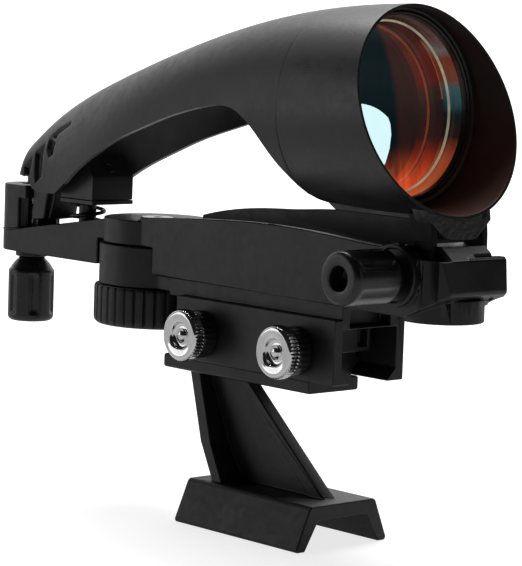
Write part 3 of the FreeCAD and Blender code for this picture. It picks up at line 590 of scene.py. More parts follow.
def soften(node, mat, width):
    """A finished copy of a CAD node: joined, flat faces merged, its edges rounded."""
    bm = bmesh.new()
    bm.from_mesh(NODES[node].data)
    if node == "bracket_frame":       # the shallow marks on the near wall are filled flush
        for v in bm.verts:
            x, y, z = v.co / MM
            if abs(y + 12.65) < 0.02 and 72 < z < 81 and -15 < x < 36:
                v.co.y = -13.0 * MM
        bmesh.ops.remove_doubles(bm, verts=bm.verts, dist=2e-5)
    bmesh.ops.remove_doubles(bm, verts=bm.verts, dist=3e-6)
    bmesh.ops.dissolve_limit(bm, angle_limit=math.radians(0.4), verts=bm.verts, edges=bm.edges)
    name = node + "_finished"
    mesh = bpy.data.meshes.new(name)
    bm.to_mesh(mesh)
    bm.free()
    shade_smooth(mesh, sharp=30.0)
    ob = add_object(name, mesh, (mat,))
    bevel(ob, width, limit=30.0, clamp=False)
    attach(ob, BODY[node])
    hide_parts(node)


# ---------------------------------------------------------------------------
# hood shell: one skin from the tail to the mouth, open below like a scoop
# ---------------------------------------------------------------------------
# x, half width, z of the top, z of the widest line
SECTIONS = np.array([
    (-114.5, 8.3, 98.0, 84.0), (-108.0, 8.9, 103.6, 83.0), (-100.0, 9.8, 108.8, 83.5),
    (-90.0, 11.2, 113.7, 87.0), (-80.0, 12.9, 117.7, 92.5), (-68.0, 15.2, 122.2, 98.0),
    (-56.5, 17.3, 126.0, 102.5), (-42.5, 19.2, 130.4, 107.2), (-30.0, 20.3, 133.9, 111.0),
    (-18.0, 21.2, 137.2, 114.0), (-6.0, 22.2, 140.0, 116.0), (6.0, 23.4, 142.3, 117.2),
    (18.0, 24.8, 144.0, 117.9), (30.0, 26.2, 145.0, 118.3), (42.0, 27.2, 145.4, 118.4),
    (54.0, 27.9, 145.7, 118.5), (68.0, 28.5, 145.9, 118.5),
])
# x, z of the scoop's lower edge
SCOOP = np.array([
    (-116.0, 92.5), (-112.5, 90.6), (-108.2, 90.4), (-104.5, 87.0), (-100.0, 86.2),
    (-91.0, 86.4), (-86.5, 89.0), (-82.0, 92.0), (-68.0, 99.2), (-56.5, 104.1),
    (-42.5, 108.6), (-30.0, 112.3), (-18.0, 115.1), (-8.0, 116.7), (-1.0, 116.6),
    (6.9, 112.9), (12.2, 107.6), (16.3, 101.7), (19.0, 96.0), (20.2, 91.0),
])
SCOOP_JOIN = 5                  # point where the tail's curve hands over to the main one
# finger grips on the tail: outlines in the side view (x, z)
GRIPS = [
    [(-110.3, 93.3), (-106.6, 96.4), (-106.3, 89.6), (-109.5, 90.6)],
    [(-105.2, 97.9), (-100.0, 101.0), (-99.3, 90.9), (-103.1, 88.4)],
    [(-98.0, 102.8), (-93.0, 101.6), (-93.5, 97.8), (-95.8, 96.6), (-98.3, 99.5)],
    [(-97.8, 103.0), (-92.8, 105.8), (-85.5, 108.3), (-85.3, 107.1), (-92.4, 103.9),
     (-94.0, 102.0)],
]
GRIP_DEPTH = 1.25
WALL = 1.7
TAIL_X = -114.4
TAIL_ROUND = 3.2                # radius of the tail's rounded end
TAIL_ROWS = 8
BELL_X = 21.0                   # from here on the sections lean towards the mouth's plane
LAST_X = 66.0                   # last station, which lands on the mouth
MOUTH_X, MOUTH_Z = 54.2, 118.3  # a point on the mouth's plane
MOUTH_LEAN = math.tan(math.radians(19.9))
ROUND = 144                     # steps round a section


def fitted(column, degree):
    """Polynomial in x through a column of SECTIONS."""
    c = np.polyfit((SECTIONS[:, 0] + 20) / 90.0, SECTIONS[:, column], degree)
    return lambda x: np.polyval(c, (np.asarray(x, float) + 20) / 90.0)


half_width, top_z, middle_z = fitted(1, 6), fitted(2, 6), fitted(3, 7)


def monotone_cubic(xs, ys):
    h = np.diff(xs)
    d = np.diff(ys) / h
    m = np.zeros(len(xs))
    for i in range(1, len(xs) - 1):
        if d[i - 1] * d[i] > 0:
            w1, w2 = 2 * h[i] + h[i - 1], h[i] + 2 * h[i - 1]
            m[i] = (w1 + w2) / (w1 / d[i - 1] + w2 / d[i])
    m[0], m[-1] = d[0], d[-1]

    def f(x):
        i = int(np.clip(np.searchsorted(xs, x) - 1, 0, len(xs) - 2))
        t = (x - xs[i]) / h[i]
        return float(ys[i] * (2 * t**3 - 3 * t**2 + 1) + ys[i + 1] * (3 * t**2 - 2 * t**3)
                     + h[i] * (m[i] * (t**3 - 2 * t**2 + t) + m[i + 1] * (t**3 - t**2)))
    return f


def natural_spline(xs, ys):
    n = len(xs)
    h = np.diff(xs)
    a = np.zeros((n, n))
    r = np.zeros(n)
    a[0, 0] = a[-1, -1] = 1
    for i in range(1, n - 1):
        a[i, i - 1], a[i, i], a[i, i + 1] = h[i - 1], 2 * (h[i - 1] + h[i]), h[i]
        r[i] = 3 * ((ys[i + 1] - ys[i]) / h[i] - (ys[i] - ys[i - 1]) / h[i - 1])
    c = np.linalg.solve(a, r)

    def f(x):
        i = int(np.clip(np.searchsorted(xs, x) - 1, 0, n - 2))
        t = x - xs[i]
        b = (ys[i + 1] - ys[i]) / h[i] - h[i] * (2 * c[i] + c[i + 1]) / 3
        return float(ys[i] + b * t + c[i] * t * t + (c[i + 1] - c[i]) / (3 * h[i]) * t**3)
    return f


scoop_tail = monotone_cubic(*SCOOP[:SCOOP_JOIN + 1].T)
scoop_main = natural_spline(*SCOOP[SCOOP_JOIN:].T)


def scoop_z(x):
    return scoop_tail(x) if x < SCOOP[SCOOP_JOIN, 0] else scoop_main(x)


def section_power(x):
    """Superellipse exponent: squarer at the tail, a plain ellipse at the mouth."""
    return 2.35 - 0.35 * smoothstep(-50, 50, x)


def section_points(x, t, inset):
    """y and z at angles t of the section at x (a number or one per t), inset inside the skin."""
    x = np.asarray(x, float)
    w = half_width(x) - inset
    mid = middle_z(x)
    h = top_z(x) - mid - inset
    n = section_power(x)
    c, s = np.cos(t), np.sin(t)
    return (w * np.sign(c) * np.abs(c) ** (2 / n),
            mid + h * np.sign(s) * np.abs(s) ** (2 / n))


def edge_height(x, inset):
    """Height of the scoop's edge above the widest line, as a share of the half height."""
    return (scoop_z(x) - middle_z(x)) / (top_z(x) - middle_z(x) - inset)


def closing_x(inset):
    """x at which the scoop's edge reaches the bottom of the section, by bisection."""
    before, after = 5.0, SCOOP[-1, 0]
    for _ in range(60):
        middle = (before + after) / 2
        if edge_height(middle, inset) <= -1.0:
            after = middle
        else:
            before = middle
    return after


def edge_angle(x, inset, close_x):
    """Angle at which the section meets the scoop's edge; -90 degrees where it closes."""
    if x >= close_x - 1e-9:
        return -math.pi / 2
    q = max(-1.0, min(0.98, edge_height(x, inset)))
    return math.copysign(math.asin(abs(q) ** (section_power(x) / 2)), q)


def even_angles(x, inset, first, last):
    """Angles that space the points of a section evenly along its outline."""
    ts = np.linspace(first, last, 700)
    y, z = section_points(x, ts, inset)
    run = np.concatenate([[0], np.cumsum(np.hypot(np.diff(y), np.diff(z)))])
    return np.interp(np.linspace(0, run[-1], ROUND + 1), run, ts)


def scoop_row(x, inset, rounding, close_x):
    """Upright row of the scoop, from its far (+Y) edge over the top to its near one."""
    # the far edge lags behind where the scoop closes
    lag_x = x - 8.2 * smoothstep(-14.0, 2.0, x) * (1 - smoothstep(13.5, 19.5, x))
    t = even_angles(x, inset + rounding, edge_angle(lag_x, inset, close_x),
                    math.pi - edge_angle(x, inset, close_x))
    y, z = section_points(x, t, inset + rounding)
    return np.stack([np.full(ROUND + 1, x), y, z], 1)


def bell_row(x, inset):
    """Closed row that leans, more and more, towards the plane of the mouth."""
    s = (x - BELL_X) / (LAST_X - BELL_X)
    mid_x = BELL_X + s * (MOUTH_X - BELL_X)
    inset = inset * (1 - 0.52 * smoothstep(0.45, 1.0, s))      # the wall thins to the rim
    t = even_angles(mid_x, inset, -math.pi / 2, 1.5 * math.pi)
    xs = np.full(ROUND + 1, mid_x)
    for _ in range(8):      # x and z depend on each other
        y, z = section_points(xs, t, inset)
        xs = mid_x - (z - MOUTH_Z) * MOUTH_LEAN * s ** 1.15
    y, z = section_points(xs, t, inset)
    return np.stack([xs, y, z], 1)


def stations(close_x):
    """x of the rows after the tail's end, and the index of the one at close_x."""
    xs = list(np.arange(TAIL_X + TAIL_ROUND, -84.0, 0.5))
    xs += list(np.arange(-83.6, -9.0, 1.5))
    q = np.linspace(0, 1, 22)
    xs += list(-8.0 + (close_x + 8.0) * (1 - (1 - q) ** 1.6))
    closed = len(xs) - 1
    xs += list(np.linspace(close_x, LAST_X, 40)[1:])
    return xs, closed


def skin(inset):
    """Grid of points of the outer (inset 0) or inner skin, and the first closed row."""
    close_x = closing_x(inset)
    rows = []               # x, further inset that rounds the tail
    for k in range(TAIL_ROWS):
        if inset == 0:
            turn = math.radians(90.0 * k / TAIL_ROWS)
            rows.append((TAIL_X + TAIL_ROUND * (1 - math.cos(turn)),
                         TAIL_ROUND * (1 - math.sin(turn))))
        else:
            rows.append((TAIL_X + 1.9 + 1.2 * k / TAIL_ROWS, 0.5 * (1 - k / TAIL_ROWS)))
    xs, closed = stations(close_x)
    rows += [(x, 0.0) for x in xs]
    grid = [scoop_row(x, inset, rounding, close_x) if x <= BELL_X else bell_row(x, inset)
            for x, rounding in rows]
    return np.array(grid), closed + TAIL_ROWS


def outline_distance(x, z, points):
    """Distance to an outline, negative inside it."""
    best, inside = 1e9, False
    for (ax, az), (bx, bz) in zip(points, points[1:] + points[:1]):
        t = (x - ax) * (bx - ax) + (z - az) * (bz - az)
        t = max(0.0, min(1.0, t / ((bx - ax) ** 2 + (bz - az) ** 2)))
        best = min(best, math.hypot(x - ax - t * (bx - ax), z - az - t * (bz - az)))
        if (az > z) != (bz > z) and x < ax + (z - az) / (bz - az) * (bx - ax):
            inside = not inside
    return -best if inside else best


def press_grips(grid):
    """Sink the finger grips into both sides of the outer skin."""
    normals = np.cross(np.gradient(grid, axis=1), np.gradient(grid, axis=0))
    normals /= np.maximum(np.linalg.norm(normals, axis=2, keepdims=True), 1e-9)
    for i, j in np.ndindex(grid.shape[:2]):
        x, y, z = grid[i, j]
        if not -113 < x < -82:
            continue
        depth = max(GRIP_DEPTH * (1 - smoothstep(-0.75, 0.05, outline_distance(x, z, g)))
                    for g in GRIPS)
        if depth > 0:       # fading out towards the middle plane
            grid[i, j] -= normals[i, j] * depth * smoothstep(1.2, 4.5, abs(y))


# zones of the shell's faces, kept in the "zone" attribute
OUTER, INNER, RIM, LIP, TAIL_OUT, TAIL_IN, TAIL_LIP = range(7)
SOFT_BORDERS = ({OUTER, TAIL_OUT}, {LIP, TAIL_LIP}, {INNER, TAIL_IN})


def build_shell():
    outer, closed = skin(0.0)
    inner, _ = skin(WALL)
    press_grips(outer)
    bm = bmesh.new()
    zone = bm.faces.layers.int.new("zone")
    weight = bm.edges.layers.float.new("bevel_weight_edge")
    count = outer.shape[0]

    def add_verts(grid):
        rows = []
        for i in range(count):
            row = [bm.verts.new(Vector(p) * MM) for p in grid[i][:-1]]
            # closed rows end on their first vertex
            row.append(row[0] if i >= closed else bm.verts.new(Vector(grid[i][-1]) * MM))
            rows.append(row)
        return rows

    def face(verts, where):
        f = bm.faces.new(verts)
        f[zone] = where
        f.smooth = True

    vo, vi = add_verts(outer), add_verts(inner)
    for i in range(count - 1):
        for j in range(ROUND):
            face((vo[i][j], vo[i][j + 1], vo[i + 1][j + 1], vo[i + 1][j]), OUTER)
            face((vi[i][j], vi[i + 1][j], vi[i + 1][j + 1], vi[i][j + 1]), INNER)
    for j in range(ROUND):
        face((vo[-1][j], vo[-1][j + 1], vi[-1][j + 1], vi[-1][j]), RIM)
    for i in range(closed):
        face((vo[i][0], vo[i + 1][0], vi[i + 1][0], vi[i][0]), LIP)
        face((vo[i][-1], vi[i][-1], vi[i + 1][-1], vo[i + 1][-1]), LIP)
    face(vo[0], TAIL_OUT)
    face(vi[0], TAIL_IN)
    face((vo[0][0], vi[0][0], vi[0][-1], vo[0][-1]), TAIL_LIP)
    bmesh.ops.recalc_face_normals(bm, faces=bm.faces)

    for e in bm.edges:
        zones = {f[zone] for f in e.link_faces}
        if len(zones) == 2 and zones not in SOFT_BORDERS:
            e[weight] = 1.0
            e.smooth = False
    for f in bm.faces:
        f.material_index = 1 if f[zone] in (INNER, TAIL_IN) else 0
        # along the middle the lip takes the light grey lip material, a painted highlight
        if f[zone] == LIP and -85 < f.calc_center_median().x / MM < -14:
            f.material_index = 2
    mesh = bpy.data.meshes.new("hood_shell")
    bm.to_mesh(mesh)
    bm.free()
    ob = add_object("hood_shell", mesh, ("shell", "shell_in", "lip"))
    b = ob.modifiers.new("edge", "BEVEL")
    b.width = 0.42 * MM
    b.segments = 3
    b.limit_method = "WEIGHT"
    b.use_clamp_overlap = True
    b.harden_normals = True
    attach(ob, "head")
    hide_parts("head_shell")


build_shell()


# ---------------------------------------------------------------------------
# window and its rings: profiles are (along the window's axis, radius)
# ---------------------------------------------------------------------------
def window_ring(name, profile, mats, slot, sharp, **piece):
    revolve(name, profile, WINDOW_CENTRE, WINDOW_AXIS, "head", mats, n=160, slot=slot,
            sharp=sharp, **piece)


GLASS_R = 24.2
GLASS_CHAMFER = 0.2
GLASS_STEPS = 28


def glass_face(apex, sphere):
    """Face of the glass from its apex out, its last point drawn in for the chamfer."""
    radii = [GLASS_R * k / GLASS_STEPS for k in range(GLASS_STEPS + 1)]
    points = [(apex - sphere + math.sqrt(sphere * sphere - r * r), r) for r in radii]
    points[-1] = (points[-1][0], GLASS_R - GLASS_CHAMFER)
    return points


def glass_material(face):
    """0 on the front, 1 on the back, 2 on the edge."""
    a = face.normal.dot(WINDOW_AXIS)
    return 0 if a > 0.7 else (1 if a < -0.7 else 2)


def build_window():
    # inner step of the hood that carries the window
    window_ring("window_seat",
                [(-8.4, 24.7), (-8.4, 23.0), (-8.2, 22.4), (-7.8, 22.05), (-7.2, 22.0),
                 (-6.2, 22.0), (-6.0, 22.1), (-5.95, 22.4), (-5.95, 24.26), (0.0, 24.26),
                 (0.05, 24.62), (3.9, 24.66), (4.25, 24.75), (4.5, 25.0), (4.6, 25.4),
                 (4.6, 25.8)],
                ("shell_in",), "abs_black", sharp=40)
    front = glass_face(apex=-0.05, sphere=230.0)
    back = glass_face(apex=-4.4, sphere=228.0)
    edge = [(front[-1][0] - GLASS_CHAMFER, GLASS_R), (back[-1][0] + GLASS_CHAMFER, GLASS_R)]
    window_ring("reflex_window_glass", front + edge + back[::-1],
                ("glass_front", "glass_back", "glass_edge"), "coated_glass", sharp=30,
                mat_of=glass_material, replaces="reflex_window")
    window_ring("window_seal_ring",
                [(0.0, 24.15), (0.0, 23.75), (0.15, 23.62), (0.45, 23.6), (0.70, 23.7),
                 (0.8, 23.9), (0.8, 24.15), (0.0, 24.15)],
                ("seal_dark",), "seal_grey", sharp=50, replaces="window_gasket")
    # the rear bead takes the seal material, which carries a painted highlight glow
    bead = [(-1.9 + 0.26 * math.sin(math.radians(q)), 22.5 - 0.26 * math.cos(math.radians(q)))
            for q in range(-90, 91, 15)]
    window_ring("window_rear_bead", [(-2.3, 22.75)] + bead + [(-1.54, 22.75), (-2.3, 22.75)],
                ("seal",), "seal_grey", sharp=60)
    window_ring("window_ground_rim",
                [(-1.5, 23.58), (-1.45, 23.5), (1.9, 23.48), (1.95, 23.58), (-1.5, 23.58)],
                ("glass_edge",), "coated_glass", sharp=40)
    window_ring("window_retaining_ring",
                [(0.85, 24.5), (0.85, 23.7), (1.1, 23.6), (3.6, 23.6), (3.95, 23.68),
                 (4.2, 23.9), (4.3, 24.15), (4.2, 24.4), (3.9, 24.5), (0.85, 24.5)],
                ("ring",), "abs_satin", sharp=50, replaces="window_retainer")


build_window()


# ---------------------------------------------------------------------------
# blocks under the hood
# ---------------------------------------------------------------------------
def build_chin():
    """Block under the mouth, its top following the hood."""
    top = [(y, 118.45 - 27.1 * math.sqrt(1 - (y / 27.6) ** 2) + 0.75)
           for y in (12.0 - 2.0 * k for k in range(13))]
    bottom = [(-10.6, 91.0), (-8.0, 88.4), (-5.2, 86.5), (-3.3, 86.0), (4.2, 86.0), (6.2, 86.6),
              (8.4, 88.6), (11.2, 91.0)]
    front_x = 63.8
    chin = prism("mouth_chin", top + bottom, "x", (59.4, front_x), mat="chin", edge=0.5)
    for v in chin.data.vertices:
        x, z = v.co.x / MM, v.co.z / MM
        if x < 60:      # the back leans forward to the bottom
            v.co.x = (56.8 + max(0.0, (91.8 - z)) * 0.55) * MM
        elif z > 90.0:  # the front follows the plane of the mouth
            v.co.x = min(front_x, MOUTH_X - (z - MOUTH_Z) * MOUTH_LEAN - 0.35) * MM


def build_hinge_lugs():
    """A round-ended lug on each side of the chin."""
    x, z, r = 60.5, 79.3, 3.2
    end = [(x + r * math.cos(math.radians(a)), z + r * math.sin(math.radians(a)))
           for a in range(180, 361, 15)]
    outline = [(56.6, 87.5)] + end + [(63.5, 87.5), (63.0, 92.8), (54.5, 92.8)]
    for side, span in (("near", (-10.3, -8.3)), ("far", (8.3, 10.3))):
        # the lugs take the darkened lug material, painted shade
        prism("hinge_lug_" + side, outline, "y", span, mat="lug", edge=0.3)


build_chin()
prism("bell_keel",
      [(18.9, 93.6), (21.0, 92.4), (23.0, 91.2), (23.8, 90.8), (52.5, 90.7), (52.5, 92.4),
       (24.0, 92.9)],
      "y", (-6.0, 6.0), edge=0.3)
build_hinge_lugs()

# neck under the tail
prism("tail_neck",
      [(-107.6, 91.0), (-107.6, 82.8), (-108.2, 81.8), (-109.6, 81.2), (-119.0, 81.2),
       (-119.0, 77.0), (-108.0, 77.0), (-101.0, 78.0), (-99.2, 84.0), (-98.5, 91.0)],
      "y", (-4.7, 4.7), edge=0.5)
prism("tail_neck_cheeks",
      [(-107.4, 90.5), (-107.4, 82.0), (-107.9, 80.0), (-107.9, 77.1), (-102.0, 77.9),
       (-100.8, 84.0), (-98.6, 90.5)],
      "y", (-6.3, 6.3), edge=0.5)
prism("tail_bridge", [(-108.4, 88.3), (-98.0, 88.0), (-98.0, 90.4), (-108.4, 90.9)],
      "y", (-7.9, 7.9))

# ---------------------------------------------------------------------------
# adjusting knobs
# ---------------------------------------------------------------------------
KNOB_R = 7.0
KNOB_NECK = 4.0                     # length of the flared neck
KNOB_END = KNOB_NECK + 15.6
FLUTE_PITCH = math.pi / 3
FLUTE_R = 2.3
FLUTE_CENTRE = KNOB_R + 1.7         # distance of a flute's centre from the axis
FLUTE_BLEND = 0.28                  # softening of the ridges


def flute(angle, _radius):
    """Radius of the knob at an angle: six round flutes with softened ridges."""
    q = (angle - FLUTE_PITCH / 2) % FLUTE_PITCH
    off = min(q, FLUTE_PITCH - q)
    side = FLUTE_CENTRE * math.sin(off)
    cut = KNOB_R + 3
    if side < FLUTE_R:
        cut = min(cut, FLUTE_CENTRE * math.cos(off) - math.sqrt(FLUTE_R**2 - side**2))
    # smooth minimum of the cut and the knob's radius
    h = max(0.0, min(1.0, 0.5 + 0.5 * (cut - KNOB_R) / FLUTE_BLEND))
    return cut + (KNOB_R - cut) * h - FLUTE_BLEND * h * (1 - h)


def knob_profile():
    """From the neck's end to the free end, which has a recess."""
    profile = [(0.0, 0.0), (0.0, 3.2), (0.05, 3.75), (0.25, 3.98), (0.6, 4.15)]
    for k in range(1, 7):
        profile.append((0.6 + (KNOB_NECK - 1.1) * k / 6,
                        4.15 + (6.45 - 4.15) * k / 6 + 0.25 * math.sin(math.pi * k / 6)))
    profile += [(KNOB_NECK - 0.15, 6.82), (KNOB_NECK + 0.25, 6.97), (KNOB_NECK + 0.6, KNOB_R)]
    first, last = KNOB_NECK + 0.9, KNOB_END - 2.0
    for k in range(20):
        a = first + (last - first) * k / 19
        weight = smoothstep(KNOB_NECK + 0.6, KNOB_NECK + 1.9, a)
        weight *= 1.0 - smoothstep(KNOB_END - 3.2, KNOB_END - 2.0, a)
        profile.append((a, KNOB_R, weight))
    profile.append((KNOB_END - 1.9, KNOB_R))
    r = 1.55                        # rounding of the free end
    for q in range(8, 91, 8):
        turn = math.radians(q)
        profile.append((KNOB_END - r + r * math.sin(turn), KNOB_R - r + r * math.cos(turn)))
    recess = [(0.0, 5.3), (0.0, 4.2), (0.02, 3.6), (0.1, 3.35), (0.35, 3.22), (0.8, 3.2),
              (4.2, 3.15), (4.5, 3.0), (4.6, 2.7), (4.6, 0.0)]      # depth, radius
    return profile + [(KNOB_END - depth, radius) for depth, radius in recess]


# name, origin at the neck, axis towards the free end; the knob is both body and CAD node
for name, origin, axis in (("altitude", (-115.5, 0, 65.15), (0, 0, -1)),
                           ("azimuth", (54.3, -14.1, 76.9), (0, -1, 0))):
    revolve(name + "_grip", knob_profile(), origin, axis, name + "_knob", ("knob",), n=144,
            radial=flute, replaces=name + "_knob", sharp=42, slot="knob_black")

# ---------------------------------------------------------------------------
# thumbscrews
# ---------------------------------------------------------------------------
THUMB_HEAD_Y = -18.15               # back of the head
THUMB_COLLAR_Y = -13.36             # back of the collar
THUMB_Z = 53.2
HEAD_PROFILE = (
    [(0.0, 2.05), (0.0, 6.3), (0.12, 6.7), (0.35, 6.95), (0.6, 7.15, 1.0)]
    + [(0.6 + 2.1 * k / 6, 7.2, 1.0) for k in range(1, 7)]
    + [(2.85, 7.16, 0.9), (3.0, 7.05, 0.5), (3.16, 6.92, 0.15), (3.34, 6.75), (3.5, 6.52),
       (3.6, 6.25), (3.65, 5.95), (3.64, 5.6), (3.58, 5.1), (3.52, 4.6), (3.47, 4.2),
       (3.40, 3.95), (3.28, 3.78), (3.1, 3.66), (2.7, 3.55), (2.3, 3.35), (2.12, 3.0),
       (2.08, 2.6), (2.12, 2.1), (2.3, 1.75), (2.6, 1.5), (2.95, 1.32), (3.2, 1.1),
       (3.34, 0.8), (3.41, 0.4), (3.43, 0.0)])
COLLAR_PROFILE = (
    [(0.0, 2.05), (0.0, 5.9), (0.1, 6.25), (0.35, 6.5), (0.7, 6.6, 1.0)]
    + [(0.7 + 3.2 * k / 5, 6.6, 1.0) for k in range(1, 6)]
    + [(4.3, 6.5), (4.6, 6.2), (4.7, 5.8), (4.72, 2.05), (0.0, 2.05)])


def knurl(angle, radius):
    """44 V-shaped grooves."""
    q = (angle * 44 / (2 * math.pi)) % 1.0
    return radius - 0.42 * (1 - abs(2 * q - 1)) ** 0.8


def collar_ribs(angle, radius):
    return radius - 0.22 * (0.5 + 0.5 * math.cos(24 * angle)) ** 2


def thumbscrew(name, x):
    def head_material(face):
        """1 on the knurled band, 0 elsewhere."""
        along = THUMB_HEAD_Y - face.center.y / MM
        r = math.hypot(face.center.x / MM - x, face.center.z / MM - THUMB_Z)
        return 1 if (0.3 < along < 3.05 and r > 6.4) else 0

    body = name + "_thumbscrew"
    revolve(body + "_head", HEAD_PROFILE, (x, THUMB_HEAD_Y, THUMB_Z), (0, -1, 0), body,
            ("chrome", "knurl"), n=264, radial=knurl, mat_of=head_material,
            replaces=name + "_screw_head", sharp=38, slot="plated")
    revolve(body + "_collar", COLLAR_PROFILE, (x, THUMB_COLLAR_Y, THUMB_Z), (0, -1, 0), body,
            ("collar",), n=192, radial=collar_ribs,
            replaces=name + "_screw_collar", sharp=40, slot="abs_satin")


thumbscrew("rear", -19.7)
thumbscrew("front", 18.4)

# ---------------------------------------------------------------------------
# brightness dial: an upright ribbed ring
# ---------------------------------------------------------------------------
DIAL_PROFILE = (
    [(0.0, 5.62), (0.0, 15.0), (0.03, 16.2), (0.15, 16.7), (0.4, 17.05), (0.7, 17.35, 0.4),
     (1.05, 17.6, 0.9), (1.5, 17.72, 1.0), (2.0, 17.78, 1.0)]
    + [(2.0 + 8.4 * k / 6, 17.8, 1.0) for k in range(1, 7)]
    + [(10.8, 17.76, 1.0), (11.1, 17.66, 1.0), (11.32, 17.5, 0.9), (11.42, 17.25, 0.6),
       (11.45, 16.9), (11.45, 14.6), (11.35, 14.42), (11.1, 14.4), (3.4, 14.4), (3.3, 14.2),
       (3.3, 3.2), (2.0, 3.1), (2.0, 5.6), (0.0, 5.62)])


def dial_rib(angle, radius):
    q = (angle * 36 / (2 * math.pi)) % 1.0
    d = abs(q - 0.5) * 2          # 0 in the middle of a rib, 1 in the groove
    return radius - 0.5 * smoothstep(0.68, 0.97, d) - 0.12 * d * d


revolve("brightness_dial_ring", DIAL_PROFILE, (-56.0, 0, 51.3), (0, 0, 1), "dial", ("dial",),
        n=432, radial=dial_rib, replaces="brightness_dial", sharp=38, slot="abs_satin")

# low crest on the frame's far wall
prism("far_wall_crest",
      [(-12.0, 87.0), (48.6, 87.2), (48.2, 88.9), (46.0, 89.4), (36.0, 89.6), (24.0, 89.6),
       (10.0, 89.3), (0.0, 88.7), (-8.0, 88.0), (-12.0, 87.7)],
      "y", (10.55, 12.95), mat="frame", body="frame", edge=0.35, slot="abs_satin")


# ---------------------------------------------------------------------------
# springs
# ---------------------------------------------------------------------------
def spring(name, radius, wire, span, turns, origin, axis, node, start=0.0):
    """Coil of wire diameter wire over span along a Y or Z axis, as one fixed mesh."""
    sides, steps_per_turn = 26, 44
    axis = Vector(axis)
    u = Vector((1, 0, 0))
    v = axis.cross(u).normalized()
    origin = Vector(origin)
    low, high = span
    last = int(turns * steps_per_turn)
    path = []
    for k in range(last + 1):
        t = start + 2 * math.pi * (turns * k / last)
        path.append(origin + u * (radius * math.cos(t)) + v * (radius * math.sin(t))
                    + axis * (low + (high - low) * (k / last)))
    verts, faces = [], []
    for k, p in enumerate(path):
        along = (path[min(k + 1, last)] - path[max(k - 1, 0)]).normalized()
        out = (p - origin) - axis * ((p - origin).dot(axis))
        out = (out - along * out.dot(along)).normalized()
        across = along.cross(out)
        # the ends are drawn in and stand out a little
        r = wire / 2 * (0.72 if k in (0, last) else 1.0)
        shift = wire * {0: -0.12, last: 0.12}.get(k, 0.0)
        for i in range(sides):
            t = 2 * math.pi * i / sides
            verts.append(p + along * shift + out * (r * math.cos(t)) + across * (r * math.sin(t)))
    for k in range(last):
        for i in range(sides):
            j = (i + 1) % sides
            a, b = k * sides, (k + 1) * sides
            faces.append((a + i, a + j, b + j, b + i))
    faces.append(tuple(range(sides - 1, -1, -1)))
    faces.append(tuple(last * sides + i for i in range(sides)))
    ob = mesh_piece(name, verts, faces, ("spring",), "spring_steel", sharp=40)
    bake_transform(ob)
    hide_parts(node)


spring("altitude_coil", radius=4.95, wire=1.15, span=(77.7, 83.0), turns=1.5,
       origin=(-88.6, 0, 0), axis=(0, 0, 1),
       node="altitude_spring", start=0.6)
spring("azimuth_coil", radius=2.85, wire=0.55, span=(4.2, 9.7), turns=3.0,
       origin=(54.3, 0, 76.9), axis=(0, 1, 0),
       node="azimuth_spring")

# ---------------------------------------------------------------------------
# emitter box and its port
# ---------------------------------------------------------------------------
prism("emitter_box",
      [(-92.1, 85.35), (-76.9, 85.35), (-76.85, 92.0), (-77.0, 92.5), (-81.0, 97.6),
       (-81.6, 97.9), (-92.1, 98.0)],
      "y", (-7.65, 7.65), mat="emitter", edge=0.35, slot="abs_satin",
      replaces="emitter_housing")
revolve("lamp_port",
        [(-0.6, 0.0), (-0.6, 1.75), (0.10, 1.75), (0.22, 1.62), (0.22, 1.2), (0.05, 1.05),
         (0.05, 0.0)],
        (-78.9, 0.0, 94.85), (0.792, 0.0, 0.611), "head", ("ring",), n=48, sharp=40,
        slot="abs_satin")

# ---------------------------------------------------------------------------
# CAD parts
# ---------------------------------------------------------------------------
# finished copies: node, material, width of the rounded edges
FINISHED = [
    ("bracket_frame", "frame", 0.40), ("base_clamp", "clamp", 0.35),
    ("riser_foot", "riser", 0.40), ("emitter_cover", "emitter", 0.18),
    ("spring_guide_post", "post", 0.35), ("battery_door", "door", 0.2),
    ("pivot_screw", "steel", 0.15), ("dial_screw", "steel", 0.12),
]
# parts kept as they are and only painted: material, nodes
PAINTED = {
    "brass": ("pivot_insert", "azimuth_nut", "thumbscrew_inserts", "dimmer_wiper",
              "altitude_nut"),
    "board": ("dimmer_board", "lamp_board"),
    "nylon": ("rear_screw_tip", "front_screw_tip", "pivot_washer"),
    "steel": ("rear_screw_stud", "front_screw_stud", "hinge_pin", "altitude_screw",
              "altitude_clip", "azimuth_screw", "azimuth_clip", "emitter_screws"),
    "cell": ("coin_cell",),
    "spring": ("battery_contact",),
    "lead": ("battery_lead",),
    # the battery seal takes the seal material with its painted highlight glow
    "seal": ("battery_seal",),
    "led": ("lamp_led",),
    "disc": ("reticle_disc",),
}
for node, mat, width in FINISHED:
    soften(node, mat, width)
for mat, nodes in PAINTED.items():
    for node in nodes:
        slots = NODES[node].data.materials
        slots.clear()
        slots.append(MAT[mat])

# ---------------------------------------------------------------------------
# stage: floor, light, camera
# ---------------------------------------------------------------------------
FLOOR_GLOW = 0.46       # light the far floor gives the object
FLOOR_NEAR = 0.52       # share of that even light under the object
ROOM = 0.012            # brightness of the dark room
BACKDROP = 0.95         # brightness of the backdrop, as it lights the object
SEEN_WHITE = 1.5        # brightness of floor and backdrop, as the camera sees them
LIGHT_TARGET = Vector((-0.012, 0.0, 0.085))
WHITE = (1, 1, 1, 1)


